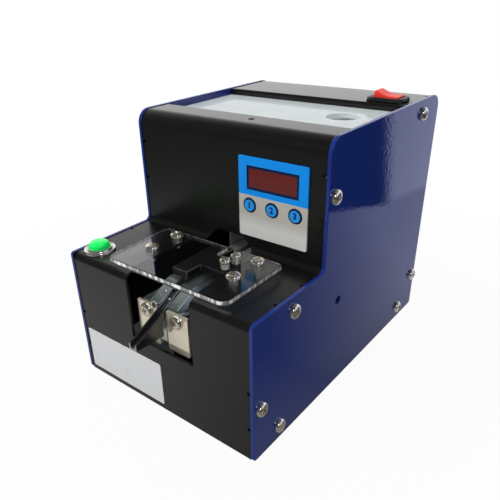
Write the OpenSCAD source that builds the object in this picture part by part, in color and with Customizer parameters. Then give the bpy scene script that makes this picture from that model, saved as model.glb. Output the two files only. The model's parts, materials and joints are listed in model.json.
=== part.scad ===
// Screw counting machine: a folded sheet housing with a low front step, a vibrating rail
// that brings screws to a discharge chute, a display with keys, and a hopper under a lid.
// Millimetres. X runs across the front, Y from the front to the rear, Z up.
// The origin lies under the middle of the whole machine, on the surface it stands on.

/* [Body] */
// Width over the two side plates
body_w = 124; // [118:1:150]
// Depth of the side plates
body_d = 184; // [178:1:210]
// Height of the side plates
body_h = 143; // [138:1:165]
// Height of the low front step
step_h = 77.5; // [74:0.5:86]
// Depth of the low front step
step_d = 58.5; // [55:0.5:64]
// Thickness of a side plate
plate_t = 2; // [1.5:0.1:3]
// Corner radius of the side plates along the top
crown_r = 8; // [4:0.5:10]
// Corner radius of the side plates elsewhere
edge_r = 2; // [1:0.5:3]
// Radius in the inner corner of the step
inner_r = 3; // [2:0.5:5]
// Gap under the side plates
foot_gap = 2; // [1:0.5:4]
// Diameter of a rubber foot
foot_d = 13; // [10:0.5:18]
// Height of the base plate above the lower edge of the side plates
base_rise = 2.5; // [2:0.5:5]
// Thickness of the base plate
base_t = 1.5; // [1:0.1:3]
// Height of the base plate's side flanges
base_flange_h = 10; // [8:0.5:12]

/* [Covers] */
// Thickness of the cover sheets
cover_t = 1.5; // [1:0.1:2]
// How far the covers lie inside the edge of the side plates
cover_inset = 0.4; // [0.2:0.1:0.8]
// Bend radius of the covers along the top
bend_r = 8; // [5:0.5:10]
// Bend radius of the front cover at the step's front edge
nose_r = 4; // [3:0.5:6]
// Depth of the front cover's flange on the top
flange_d = 22; // [18:0.5:26]
// Depth of the rear cover's top
rear_top_d = 44; // [40:0.5:48]
// Width of the screw tabs of the covers
tab_w = 20; // [14:0.5:24]
// Length of the screw tabs of the covers
tab_l = 11; // [10:0.5:16]
// Screw centre behind an upright cover face
tab_screw_in = 5.2; // [4.5:0.1:6]
// Screw centre under a level cover face
tab_screw_down = 7.4; // [6:0.1:8]
// Diameter of the hole in the front cover's flange
flange_hole_d = 3.2; // [2:0.1:5]
// Diameter of the open hole in each side plate
side_hole_d = 5; // [3:0.1:8]

/* [Front opening] */
// Width of the opening in the front cover
open_w = 43; // [40:0.5:48]
// Height of the opening below the step's top
open_h = 37.5; // [34:0.5:42]
// Width of the tunnel through the upper front
tunnel_w = 32; // [28:0.5:36]
// Height of the tunnel above the step's top
tunnel_h = 7; // [5:0.5:10]

/* [Rail and chute] */
// Sideways place of the rail's slot
rail_x = 2.5; // [-4:0.5:6]
// Width over both rails
rail_w = 24; // [20:0.5:26]
// Height of a rail
rail_h = 15.5; // [13:0.5:18]
// Depth of the rail's top below the step's top
rail_drop = 7.6; // [7:0.1:9]
// Width of the slot between the rails
slot_w = 3.2; // [2.4:0.1:4]
// Length of the sloping front end of the rails
rail_slope_l = 12.5; // [8:0.5:13]
// Drop of the rails over that length
rail_fall = 5.5; // [3:0.5:7]
// Reach of the chute in front of the body
chute_reach = 16.5; // [10:0.5:24]
// Length of the chute behind the body's front
chute_in = 15; // [12:0.5:20]
// Drop of the chute from end to end
chute_fall = 16; // [12:0.5:20]
// Width of the chute
chute_w = 5; // [4.4:0.1:5.8]
// Sheet thickness of the chute
chute_t = 1; // [0.6:0.1:1.2]
// Depth of the chute's channel
chute_depth = 2.2; // [1.5:0.1:3]
// Height of the chute's walls at its tip
chute_tip_h = 3.4; // [2.8:0.1:5]
// Width of a front bracket of the rail
bracket_w = 14.5; // [10:0.5:16]
// Height of a front bracket of the rail
bracket_h = 23; // [18:0.5:26]
// Thickness of a front bracket of the rail
bracket_t = 1.5; // [1:0.1:2]
// Gap between the two front brackets
bracket_gap = 6; // [6:0.5:8]
// Chamfer along the outer top edge of a rail
rail_chamfer = 2.6; // [1:0.1:4]
// Stroke of the rail to either side of its middle
rail_stroke = 0.3; // [0.1:0.05:0.4]

/* [Guard plate] */
// Width of the clear guard plate
guard_w = 78.4; // [72:0.2:84]
// Length of the clear guard plate
guard_l = 44.7; // [40:0.1:46]
// Thickness of the clear guard plate
guard_t = 3; // [2:0.1:4]
// Gap between the guard plate and the step
guard_gap = 2.7; // [2:0.1:5]
// Corner radius of the guard plate
guard_r = 5; // [3:0.5:7]
// Width of the notch in the guard plate
notch_w = 7.6; // [6:0.1:9]
// Depth of the notch in the guard plate
notch_d = 9.6; // [6:0.2:12]
// Distance of the guard's screws across the machine
guard_span_x = 54.6; // [54:0.1:62]
// Distance of the guard's screws along the machine
guard_span_y = 18.8; // [14:0.1:21]
// Head diameter of the guard's screws
guard_head = 7.2; // [6.4:0.1:7.6]
// Width of the hold-down bar over the rail
hold_w = 10; // [7:0.1:11]
// Height of the hold-down bar
hold_h = 4.2; // [3:0.1:4.6]

/* [Display] */
// Width of the display panel
panel_w = 41; // [38:0.5:44]
// Height of the display panel's lower edge above the step
panel_low = 8.5; // [7:0.5:10]
// Depth of the display panel's upper edge below the top
panel_high = 14.6; // [13:0.2:16]
// Thickness of the display panel
panel_t = 1; // [0.8:0.1:1.4]
// Width of the display window
window_w = 29.7; // [26:0.1:34]
// Diameter of a key
key_d = 7.4; // [6:0.1:9]
// Distance between two keys
key_pitch = 13.65; // [11:0.05:14]
// Travel of a key
key_travel = 0.4; // [0.2:0.05:0.45]
// Width of the front label
label_w = 59.3; // [50:0.1:64]
// Height of the front label
label_h = 26.5; // [20:0.5:30]
// Thickness of the front label
label_t = 0.3; // [0.2:0.05:0.4]

/* [Controls] */
// Diameter of the push button's bezel
button_d = 17.4; // [16:0.1:18]
// Diameter of the push button's threaded barrel
barrel_d = 14; // [13.6:0.1:14.6]
// Diameter of the push button's cap
cap_d = 11.4; // [9:0.1:11.8]
// Height of the push button's cap above the bezel
cap_h = 3.4; // [3:0.1:5]
// Travel of the push button
button_travel = 2; // [1:0.1:2.4]
// Width of the rocker switch's bezel across the machine
rocker_w = 21; // [19:0.1:22]
// Length of the rocker switch's bezel along the machine
rocker_l = 15; // [13:0.1:15.4]
// Height of the rocker switch's bezel
rocker_h = 2.2; // [1.6:0.1:3]
// Tilt of the rocker to either side
rocker_tilt = 12; // [8:1:14]

/* [Lid and hopper] */
// Thickness of the lid
lid_t = 3; // [2:0.1:4]
// Depth of the lid's top below the covers
lid_drop = 3.5; // [2:0.1:4.5]
// Diameter of the finger hole in the lid
finger_d = 18; // [12:0.5:22]
// Sheet thickness of the hopper
hopper_t = 1.2; // [0.8:0.1:1.6]
// Height of the hopper's sloping floors
slope_h = 34; // [24:0.5:40]
// Width inside the pocket that the scoop swings in
pocket_w = 18; // [16:0.5:20]
// Width of the scoop
scoop_w = 12; // [10:0.5:13]
// Swing of the scoop
scoop_swing = 35; // [32:1:40]
// Radius of the sweeping brush
brush_r = 13; // [11:0.5:14]
// Width of the sweeping brush
brush_w = 16; // [12:0.5:20]
// Diameter of the shafts
shaft_d = 5; // [4:0.1:6]

/* [Fasteners] */
// Thread diameter of the housing screws
m4 = 4; // [3.5:0.1:4.4]
// Head diameter of the housing screws
m4_head = 7.6; // [7:0.1:8.4]
// Head height of the housing screws
m4_head_h = 2.4; // [1.8:0.1:3]
// Thread diameter of the small screws
m3 = 3; // [2.6:0.1:3.2]
// Head diameter of the small screws
m3_head = 5.5; // [5:0.1:6]
// Head height of the small screws
m3_head_h = 1.9; // [1.4:0.1:2.2]
// Play of a screw in its thread and of fixed pieces in their seats
fit = 0.05; // [0.03:0.01:0.08]
// Play between pieces that move past each other
play = 0.3; // [0.25:0.05:0.4]

/* [Hidden] */
$fn = 48;
arc_step = 9;
over = 1;

// Frame of the housing
jack_reach = 3;
in_x = body_w / 2 - plate_t;
front_y = (chute_reach - body_d - jack_reach) / 2;
rear_y = front_y + body_d;
upper_y = front_y + step_d;
plate_z = foot_gap;
step_z = plate_z + step_h;
crest_z = plate_z + body_h;
base_z = plate_z + base_rise;
floor_z = base_z + base_t;

// Outer faces of the covers
cover_front = front_y + cover_inset;
cover_upper = upper_y + cover_inset;
cover_rear = rear_y - cover_inset;
cover_step = step_z - cover_inset;
cover_top = crest_z - cover_inset;
flange_y = upper_y + flange_d;
flange_hole = [rail_x + 4.9, flange_y - 7.5];
lid_back = rear_y - rear_top_d;
inner_front = cover_front + cover_t;
inner_rear = cover_rear - cover_t;

// Places of the screws in the side plates, as [y, z]
lower_tab = [cover_front + tab_screw_in, plate_z + step_h * 0.383];
step_tab = [front_y + 31.5, cover_step - tab_screw_down];
upper_tab = [cover_upper + tab_screw_in, step_z + (body_h - step_h) * 0.571];
top_tab = [rear_y - 23.3, cover_top - tab_screw_down];
rear_tab = [cover_rear - tab_screw_in, plate_z + 25];
base_screw_z = floor_z + 4.3;
front_base = [front_y + 20.8, base_screw_z];
rear_base = [rear_y - 24.1, base_screw_z];
side_points = [lower_tab, step_tab, upper_tab, top_tab, rear_tab, front_base, rear_base];
side_hole = [upper_y + 15.8, step_z - 22.7];
side_screw_l = 8;
plate_hole_d = m4 + 0.4;
relief_w = 1.4;
relief_d = 1.8;

// Feet
foot_x = in_x - 12;
foot_in = 16;
foot_recess_d = m3_head + 1;
foot_recess_h = 2.4;
foot_screw_l = foot_gap + base_rise - foot_recess_h + 4;

// Front opening
open_shift = 1.2;
open_x = rail_x + open_shift;
open_z = step_z - open_h;
bend_keep = inner_r + 0.5;
tunnel_chamfer = tunnel_h;

// Rail and chute
rail_top = cover_step - rail_drop;
rail_bottom = rail_top - rail_h;
bracket_y = front_y + 4;
rail_front = bracket_y + bracket_t;
rail_tip_z = rail_top - rail_fall;
bracket_top = rail_tip_z - 1;
bracket_screw_z = bracket_top - 4;
bracket_x = bracket_gap / 2 + bracket_w / 2;
bracket_screw_l = 8;
rail_foot_w = 28.4;
rail_foot_h = 8.5;
left_foot_rise = 1.5;
chute_back = front_y + chute_in;
chute_tip = front_y - chute_reach;
chute_z = rail_top - 0.5;
chute_bow = 0.18;
chute_steps = 8;
chute_skirt = 4.6;
chute_gap = 2;
carrier_h = 10;
carrier_z = rail_bottom - carrier_h;

// Display stack behind the upper front
standoff_l = 9;
standoff_d = m3 + 2;
stud_l = 3;
board_t = 1.6;
panel_side = 8.75;
panel_h = body_h - step_h - panel_low - panel_high;
panel_x = in_x - panel_side - panel_w / 2;
panel_z = step_z + panel_low;
window_h = panel_h * 0.267;
window_z = panel_z + panel_h * 0.884 - window_h / 2;
key_x = [for (i = [-1 : 1]) panel_x + i * key_pitch];
key_z = panel_z + panel_h * 0.406;
display_y = cover_upper + cover_t + standoff_l;
key_hole_d = key_d + 2 * play;
stem_d = 3;
stem_hole_d = stem_d + 1.4;
window_d = 2;
switch_d = 3.5;
plunger_l = 0.9;
standoff_dx = (panel_w - standoff_d) / 2 - 0.5;
standoff_z = [panel_z + 4, panel_z + panel_h - 4];
digits_gap = 0.5;
digits_w = 2 * standoff_dx - standoff_d - 2 * digits_gap;
digits_h = window_h + 2.7;
digits_d = standoff_l - 1.5;

// Label, button and rocker
label_x = -in_x + 2.2 + label_w / 2;
label_z = plate_z + 3.5;
button_x = -in_x + 9;
button_y = front_y + 11.8;
bezel_h = 2.2;
barrel_l = 16;
bore_d = cap_d + 2 * play;
bore_l = 12;
cap_skirt = 5;
nut_h = 2.5;
rocker_x = in_x - 15;
rocker_y = lid_back + 10.5;
rocker_rim = 2.6;
rocker_seat = 0.5;
rocker_body_h = 14;
rocker_pivot_z = cover_top + rocker_h - 1.5;
rocker_wing = 3.8;
rocker_pin_d = 2;
rocker_cap_l = rocker_w - 2 * rocker_rim - 1.6;
rocker_cap_w = rocker_l - 2 * rocker_rim - 2 * play;

// Guard plate and hold-down
guard_x = rail_x + 4.5;
guard_y = front_y + 1.4;
guard_z = cover_step + guard_gap;
guard_top = guard_z + guard_t;
guard_screw_y = guard_y + guard_l - 14.3;
spacer_d = 4.8;
hold_top = cover_step - 0.4;
hold_front = front_y + 18.6;
hold_back = cover_upper - 3;
arm_y = guard_y + guard_l - 9.5;
arm_l = 16;
arm_t = 3;
arm_x = open_x + open_w / 2 - 0.6;
adjust_front = [arm_x - 3.7, arm_y - 4.2];
adjust_rear = [arm_x - 2.6, arm_y + 3.2];
adjust_hole_d = m3 + 0.3;
spring_d = m3 + 1.8;
spring_wire = 0.7;
notch_wall = 0.9;
notch_x = adjust_rear.x - adjust_hole_d / 2 - notch_wall - notch_w / 2;

// Brush chamber, hopper and scoop
lid_z = cover_top - lid_drop - lid_t;
hopper_z = lid_z;
lip_low = hopper_z + 0.6;
ledge = 3;
chamber_half = rail_w / 2 + 3;
chamber_y = display_y + board_t + stud_l + 1;
chamber_z = rail_top - 3;
brush_y = chamber_y + hopper_t + 2 + brush_r;
brush_z = rail_top + 2 + brush_r;
brush_hub_r = 5;
rail_back = brush_y + 9;
hopper_y = chamber_y + 2 * brush_r + 6;
pivot_y = rail_back + 9;
pivot_z = rail_bottom - 6;
pocket_half = pocket_w / 2 + hopper_t;
slope_low = rail_top - 3.5;
slope_lip = 6;
shelf_z = cover_top - cover_t - rocker_body_h - 8;
hopper_back = lid_back + 14;
scoop_r = hopper_back - pivot_y - 1.6;
scoop_rise = rail_top - pivot_z;
scoop_reach = sqrt(scoop_r * scoop_r - scoop_rise * scoop_rise);
scoop_hub_r = 6;
scoop_tip_h = 6.5;
scoop_dip = scoop_reach * sin(scoop_swing) - (scoop_rise - scoop_tip_h) * cos(scoop_swing);
pocket_gap = 2;
pocket_z = pivot_z - max(scoop_hub_r, scoop_dip) - pocket_gap - hopper_t;
motor_bore_l = 6;
brush_motor_d = 24;
brush_motor_l = 30;
scoop_motor_d = 20;
scoop_motor_l = 34;
bush_d = shaft_d + 3;
bush_flange_d = shaft_d + 6;
bush_flange_h = 1;
bore_play = 0.05;

// Vibrator under the rail
mount_h = 3;
vib_w = 28;
vib_h = 9;
vib_y = front_y + 14;
vib_l = 60;
vib_z = floor_z + mount_h;
carrier_l = body_d * 0.38;
leaf_t = 1;
leaf_w = rail_w - 4;
leaf_y = [rail_front + carrier_l * 0.2, rail_front + carrier_l * 0.86];
leaf_in = 6;
leaf_slot = leaf_t + 2 * (rail_stroke + play);
core_w = rail_w * 0.75;
core_y = front_y + 30;
core_l = 20;
core_gap = rail_stroke + 0.7;
armature_t = 5;
core_z = vib_z + vib_h;
core_h = carrier_z - core_z - 6;
coil_gap = 3;
coil_d = core_h - 2 * coil_gap;
yoke_t = 5;
pole_d = coil_d / 2;

// Electronics
board_w = body_w * 0.645;
board_l = body_d * 0.272;
board_x = -6;
board_y = rear_y - 72;
board_z = floor_z + 6;
spacer_in = 4;
jack_x = -35;
jack_z = plate_z + 25;
jack_d = 11;
jack_thread_d = 8;
jack_bore_d = 5.7;
jack_l = 12;

// Colours
navy = "#1c2f6b";
black = "#2b2b29";
zinc = "#b9bcbd";
nickel = "#cfc6ae";
steel = "#87908c";
clear = "#cfd8da90";
plastic = "#1c1c1c";
rubber = "#161616";
board_green = "#1d5b39";
copper = "#a5603a";
iron = "#5d5f60";

// Plane helpers
function unit(v) = v / norm(v);
function right_of(v) = [v.y, -v.x];
function turned(v, a) = [v.x * cos(a) - v.y * sin(a), v.x * sin(a) + v.y * cos(a)];
function flat(p) = [p.x, p.y];
function reverse(v) = [for (i = [len(v) - 1 : -1 : 0]) v[i]];

// Arc of radius r in the corner at b, on the way from a to c
function corner(a, b, c, r) =
    let (u = unit(a - b), v = unit(c - b), half = acos(u * v) / 2)
    let (mid = b + unit(u + v) * r / sin(half), start = b + u * r / tan(half))
    let (sweep = sign(cross(b - a, c - b)) * (180 - 2 * half))
    let (steps = max(2, ceil(abs(sweep) / arc_step)))
    r <= 0 ? [b] : [for (i = [0 : steps]) mid + turned(start - mid, sweep * i / steps)];

// Closed outline with corners given as [x, y, radius]
function rounded(p) =
    let (n = len(p))
    [for (i = [0 : n - 1])
        each corner(flat(p[(i + n - 1) % n]), flat(p[i]), flat(p[(i + 1) % n]), p[i].z)];

// Open path with corners given as [x, y, radius]
function bent(p) =
    let (n = len(p))
    [flat(p[0]), for (i = [1 : n - 2]) each corner(flat(p[i - 1]), flat(p[i]), flat(p[i + 1]), p[i].z),
        flat(p[n - 1])];

// Corner of a path after a shift to its right by t
function shifted(a, b, c, t) =
    let (n = right_of(unit(b - a)), m = right_of(unit(c - b)), w = unit(n + m))
    b + w * t / (w * n);

// Outline of a bent sheet whose outer face follows the path, with its thickness to the right
function sheet(p, t) =
    let (n = len(p), a = right_of(unit(flat(p[1]) - flat(p[0]))) * t)
    let (z = right_of(unit(flat(p[n - 1]) - flat(p[n - 2]))) * t)
    let (inner = [
        flat(p[0]) + a,
        for (i = [1 : n - 2])
            let (q = shifted(flat(p[i - 1]), flat(p[i]), flat(p[i + 1]), t))
            let (side = sign(cross(flat(p[i]) - flat(p[i - 1]), flat(p[i + 1]) - flat(p[i]))))
            [q.x, q.y, p[i].z + side * t],
        flat(p[n - 1]) + z])
    concat(bent(p), reverse(bent(inner)));

// Extrudes a Y-Z outline across the machine, from x on
module across(x, width) {
    translate([x, 0, 0]) rotate([90, 0, 90]) linear_extrude(width) children();
}

// Extrudes an X-Z outline along the machine, from y on
module along(y, length) {
    translate([0, y + length, 0]) rotate([90, 0, 0]) linear_extrude(length) children();
}

// Box from its low corner to its high corner
module box(low, high) {
    translate(low) cube(high - low);
}

// Cylinders whose axis runs across or along the machine, from a given end
module rod_x(x, y, z, d, length) {
    translate([x, y, z]) rotate([0, 90, 0]) cylinder(d = d, h = length);
}

module rod_y(x, y, z, d, length) {
    translate([x, y, z]) rotate([-90, 0, 0]) cylinder(d = d, h = length);
}

module rod_z(x, y, z, d, length) {
    translate([x, y, z]) cylinder(d = d, h = length);
}

// Turned piece whose profile is given as [radius, height, rounding]
module turned_piece(profile) {
    rotate_extrude() polygon(rounded(profile));
}

// Screw with a domed head above its seat at the origin and the shank below
module pan_screw(d, head_d, head_h, length) {
    turned_piece([
        [0, -length, 0], [d / 2 - 0.4, -length, 0], [d / 2, -length + 0.4, 0], [d / 2, 0, 0],
        [head_d / 2, 0, 0], [head_d / 2, head_h, head_h * 0.7], [0, head_h, 0]]);
}

// Copies children to the four corners of a rectangle
module four(dx, dy) {
    for (x = [-dx, dx], y = [-dy, dy]) translate([x, y, 0]) children();
}

// Side plates
module side_plate(x) {
    difference() {
        across(x, plate_t) polygon(rounded([
            [front_y, plate_z, edge_r], [rear_y, plate_z, edge_r],
            [rear_y, crest_z, crown_r], [upper_y, crest_z, crown_r],
            [upper_y, step_z, inner_r], [front_y, step_z, edge_r]]));
        for (p = side_points) rod_x(x - over, p.x, p.y, plate_hole_d, plate_t + 2 * over);
        rod_x(x - over, side_hole.x, side_hole.y, side_hole_d, plate_t + 2 * over);
    }
}

module left_side_plate() {
    color(navy) side_plate(-in_x - plate_t);
}

module right_side_plate() {
    color(navy) side_plate(in_x);
}

module side_screws(side) {
    for (p = side_points)
        translate([side * (in_x + plate_t), p.x, p.y]) rotate([0, side * 90, 0])
            pan_screw(m4, m4_head, m4_head_h, side_screw_l);
}

module left_side_screws() {
    color(zinc) side_screws(-1);
}

module right_side_screws() {
    color(zinc) side_screws(1);
}

// Holes for the side screws through the tabs and flanges inside the plates
module tab_holes(points) {
    for (p = points) rod_x(-in_x - over, p.x, p.y, m4 + 2 * fit, 2 * (in_x + over));
}

// Pair of screw tabs behind a cover face, and the relief cuts beside them
module tab(low, high) {
    for (side = [-1, 1])
        translate([side * (in_x - cover_t / 2), (low.x + high.x) / 2, (low.y + high.y) / 2])
            cube([cover_t, high.x - low.x, high.y - low.y], center = true);
}

module relief(y, z) {
    for (side = [-1, 1])
        translate([side * (in_x - relief_d / 2 + over / 2), y, z])
            cube([relief_d + over, 2 * cover_t + relief_w, relief_w], center = true);
}

module level_relief(y, z) {
    for (side = [-1, 1])
        translate([side * (in_x - relief_d / 2 + over / 2), y, z])
            cube([relief_d + over, relief_w, 2 * cover_t + relief_w], center = true);
}

// Base plate with side flanges
module base_plate() {
    flange_in = 12;
    color(zinc) difference() {
        union() {
            box([-in_x, inner_front, base_z], [in_x, inner_rear, floor_z]);
            for (x = [-in_x, in_x - base_t])
                box([x, inner_front + flange_in, base_z],
                    [x + base_t, inner_rear - flange_in, base_z + base_flange_h]);
        }
        tab_holes([front_base, rear_base]);
        foot_places() translate([0, 0, base_z - over]) cylinder(d = m3 + 2 * fit, h = base_t + 2 * over);
    }
}

module foot_places() {
    for (x = [-foot_x, foot_x], y = [front_y + foot_in, rear_y - foot_in]) translate([x, y, 0]) children();
}

module rubber_feet() {
    foot_h = base_z;
    color(rubber) foot_places() difference() {
        turned_piece([
            [0, 0, 0], [foot_d / 2 - 1, 0, 0.8], [foot_d / 2, foot_h, 0.6], [0, foot_h, 0]]);
        translate([0, 0, -over]) cylinder(d = foot_recess_d, h = foot_recess_h + over);
        cylinder(d = m3 + 2 * fit, h = foot_h + over);
    }
}

module foot_screws() {
    color(zinc) foot_places() translate([0, 0, foot_recess_h]) rotate([180, 0, 0])
        pan_screw(m3, m3_head, m3_head_h, foot_screw_l);
}

// Front cover: lower front, step, upper front and top flange in one folded sheet
module front_cover() {
    color(black) difference() {
        union() {
            across(-in_x, 2 * in_x) polygon(sheet([
                [cover_front, plate_z], [cover_front, cover_step, nose_r],
                [cover_upper, cover_step, inner_r],
                [cover_upper, cover_top, bend_r], [flange_y, cover_top]], cover_t));
            tab([cover_front, lower_tab.y - tab_w / 2], [cover_front + tab_l, lower_tab.y + tab_w / 2]);
            tab([cover_upper, upper_tab.y - tab_w / 2], [cover_upper + tab_l, upper_tab.y + tab_w / 2]);
            tab([step_tab.x - tab_w / 2, cover_step - tab_l], [step_tab.x + tab_w / 2, cover_step]);
        }
        for (s = [-1, 1]) {
            relief(cover_front, lower_tab.y + s * (tab_w + relief_w) / 2);
            relief(cover_upper, upper_tab.y + s * (tab_w + relief_w) / 2);
            level_relief(step_tab.x + s * (tab_w + relief_w) / 2, cover_step);
        }
        tab_holes([lower_tab, step_tab, upper_tab]);
        front_opening();
        display_cuts();
        rod_z(button_x, button_y, cover_step - cover_t - over, barrel_d + 2 * fit, cover_t + 2 * over);
        guard_places() translate([0, 0, cover_step - cover_t - over])
            cylinder(d = m3 + 2 * fit, h = cover_t + 2 * over);
        rod_z(flange_hole.x, flange_hole.y, cover_top - cover_t - over, flange_hole_d, cover_t + 2 * over);
    }
}

// Cut through the lower front and the step, and on through the upper front as a tunnel
module front_opening() {
    box([open_x - open_w / 2, cover_front - over, open_z],
        [open_x + open_w / 2, cover_upper - bend_keep, cover_step + over]);
    low = cover_step - cover_t - inner_r - over;
    along(cover_upper - bend_keep - over, bend_keep + cover_t + 2 * over) polygon([
        [rail_x - tunnel_w / 2, low], [rail_x + tunnel_w / 2, low],
        [rail_x + tunnel_w / 2, cover_step + tunnel_h - tunnel_chamfer],
        [rail_x + tunnel_w / 2 - tunnel_chamfer, cover_step + tunnel_h],
        [rail_x - tunnel_w / 2 + tunnel_chamfer, cover_step + tunnel_h],
        [rail_x - tunnel_w / 2, cover_step + tunnel_h - tunnel_chamfer]]);
}

// Cuts behind the display panel for its window and the stems of its keys
module display_cuts() {
    box([panel_x - window_w / 2 - fit, cover_upper - over, window_z - window_h / 2 - fit],
        [panel_x + window_w / 2 + fit, cover_upper + cover_t + over, window_z + window_h / 2 + fit]);
    for (x = key_x) rod_y(x, cover_upper - over, key_z, stem_hole_d, cover_t + 2 * over);
}

// Rear cover: lip, top and back in one folded sheet
module rear_cover() {
    lip_r = cover_t + 0.1;
    color(black) difference() {
        union() {
            across(-in_x, 2 * in_x) polygon(sheet([
                [lid_back, lip_low], [lid_back, cover_top, lip_r],
                [cover_rear, cover_top, bend_r], [cover_rear, plate_z]], cover_t));
            tab([top_tab.x - tab_w / 2, cover_top - tab_l], [top_tab.x + tab_w / 2, cover_top]);
            tab([cover_rear - tab_l, rear_tab.y - tab_w / 2], [cover_rear, rear_tab.y + tab_w / 2]);
        }
        for (s = [-1, 1]) {
            level_relief(top_tab.x + s * (tab_w + relief_w) / 2, cover_top);
            relief(cover_rear, rear_tab.y + s * (tab_w + relief_w) / 2);
        }
        tab_holes([top_tab, rear_tab]);
        rocker_body(fit, cover_top - cover_t - over, cover_top + over);
        rod_y(jack_x, cover_rear - cover_t - over, jack_z, jack_thread_d + 2 * fit, cover_t + 2 * over);
    }
}

module front_label() {
    color("#d7d8da") along(cover_front - label_t, label_t) polygon(rounded([
        for (c = [[-1, 0], [1, 0], [1, 1], [-1, 1]])
            [label_x + c.x * label_w / 2, label_z + c.y * label_h, 1.2]]));
}

// Display panel with its window, keys, board and digits
module display_panel() {
    color("#c8c8c5") difference() {
        along(cover_upper - panel_t, panel_t) polygon(rounded([
            for (c = [[-1, 0], [1, 0], [1, 1], [-1, 1]])
                [panel_x + c.x * panel_w / 2, panel_z + c.y * panel_h, 0.8]]));
        box([panel_x - window_w / 2 - fit, cover_upper - panel_t - over, window_z - window_h / 2 - fit],
            [panel_x + window_w / 2 + fit, cover_upper + over, window_z + window_h / 2 + fit]);
        for (x = key_x)
            rod_y(x, cover_upper - panel_t - over, key_z, key_hole_d, panel_t + 2 * over);
    }
}

module display_window() {
    color("#6e201b") box(
        [panel_x - window_w / 2, cover_upper - panel_t + 0.2, window_z - window_h / 2],
        [panel_x + window_w / 2, cover_upper - panel_t + 0.2 + window_d, window_z + window_h / 2]);
}

module display_board() {
    color(board_green) difference() {
        box([panel_x - panel_w / 2, display_y, panel_z],
            [panel_x + panel_w / 2, display_y + board_t, panel_z + panel_h]);
        for (x = [-standoff_dx, standoff_dx], z = standoff_z)
            rod_y(panel_x + x, display_y - over, z, m3 + 2 * fit, board_t + 2 * over);
    }
}

module display_standoffs() {
    color(zinc) for (x = [-standoff_dx, standoff_dx], z = standoff_z) {
        rod_y(panel_x + x, display_y - standoff_l, z, standoff_d, standoff_l);
        rod_y(panel_x + x, display_y - over, z, m3, over + board_t + stud_l);
    }
}

// Four digits in one case, each with a raised face
module led_digits() {
    count = 4;
    pitch = digits_w / count;
    face_l = 0.4;
    color("#2a2a2c") {
        box([panel_x - digits_w / 2, display_y - digits_d + face_l, window_z - digits_h / 2],
            [panel_x + digits_w / 2, display_y, window_z + digits_h / 2]);
        for (i = [0 : count - 1])
            translate([panel_x + (i - (count - 1) / 2) * pitch, display_y - digits_d, window_z])
                along(0, face_l + over) square([pitch - 0.6, window_h - 1], center = true);
    }
}

module key_switches() {
    switch_w = 6;
    color(plastic) for (x = key_x) translate([x, 0, key_z]) {
        along(display_y - switch_d, switch_d) square(switch_w, center = true);
        rod_y(0, display_y - switch_d - plunger_l, 0, 3.4, plunger_l + over);
    }
}

// Round key with a crowned face and a stem that reaches its switch
module key(x) {
    face_y = cover_upper - panel_t - 0.4;
    seat = 0.2 + key_travel;
    end_y = display_y - switch_d - plunger_l - key_travel - 0.1;
    color("#3ca0f0") translate([x, face_y, key_z]) rotate([-90, 0, 0]) {
        disc = cover_upper - seat - face_y;
        turned_piece([
            [0, 0, 0], [key_d / 2, 0, 0.3], [key_d / 2, disc, 0], [stem_d / 2, disc, 0],
            [stem_d / 2, end_y - face_y, 0], [0, end_y - face_y, 0]]);
    }
}

module key_1() {
    key(key_x[0]);
}

module key_2() {
    key(key_x[1]);
}

module key_3() {
    key(key_x[2]);
}

// Rocker switch: the body fills a rectangular hole in the rear cover
module rocker_body(grow, low, high) {
    w = rocker_w / 2 - rocker_seat + grow;
    l = rocker_l / 2 - rocker_seat + grow;
    box([rocker_x - w, rocker_y - l, low], [rocker_x + w, rocker_y + l, high]);
}

module rocker_frame() {
    w = rocker_w / 2;
    l = rocker_l / 2;
    well_w = rocker_cap_l / 2 + 0.8;
    well_l = rocker_cap_w / 2 + play;
    well_z = rocker_pivot_z - rocker_cap_l / 2 - 1;
    terminal = [0.8, 4.8, 7];
    low = cover_top - rocker_body_h;
    color(plastic) {
        difference() {
            union() {
                translate([rocker_x, rocker_y, cover_top]) linear_extrude(rocker_h) polygon([
                    [-w + rocker_rim, -l], [w - rocker_rim, -l], [w, -l + rocker_rim],
                    [w, l - rocker_rim], [w - rocker_rim, l], [-w + rocker_rim, l],
                    [-w, l - rocker_rim], [-w, -l + rocker_rim]]);
                rocker_body(0, low, cover_top + over);
            }
            box([rocker_x - well_w, rocker_y - well_l, well_z],
                [rocker_x + well_w, rocker_y + well_l, cover_top + rocker_h + over]);
        }
        rod_y(rocker_x, rocker_y - well_l - 0.2, rocker_pivot_z, rocker_pin_d, 2 * well_l + 0.4);
        for (x = [-1, 1])
            translate([rocker_x + x * 4 - terminal.x / 2, rocker_y - terminal.y / 2, low - terminal.z])
                cube([terminal.x, terminal.y, terminal.z + over]);
    }
}

module rocker_cap() {
    half = rocker_cap_l / 2;
    skirt = 2.6;
    color("#ff5a48") translate([rocker_x, rocker_y, rocker_pivot_z]) rotate([0, rocker_tilt, 0])
        difference() {
            along(-rocker_cap_w / 2, rocker_cap_w) polygon(rounded([
                [-half, -skirt, 1.2], [half, -skirt, 1.2], [half, rocker_wing, 0.6],
                [0, rocker_wing - 1.3, 12], [-half, rocker_wing, 0.6]]));
            rod_y(0, -rocker_l, 0, rocker_pin_d + 2 * bore_play, 2 * rocker_l);
        }
}

// Push button
module button_body() {
    color("#c9c9c6") translate([button_x, button_y, cover_step]) difference() {
        turned_piece([
            [0, -barrel_l, 0], [barrel_d / 2, -barrel_l, 0.5], [barrel_d / 2, 0, 0], [button_d / 2, 0, 0],
            [button_d / 2, bezel_h, 1.4], [0, bezel_h, 0]]);
        translate([0, 0, bezel_h - bore_l]) cylinder(d = bore_d, h = bore_l + over);
    }
}

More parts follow.
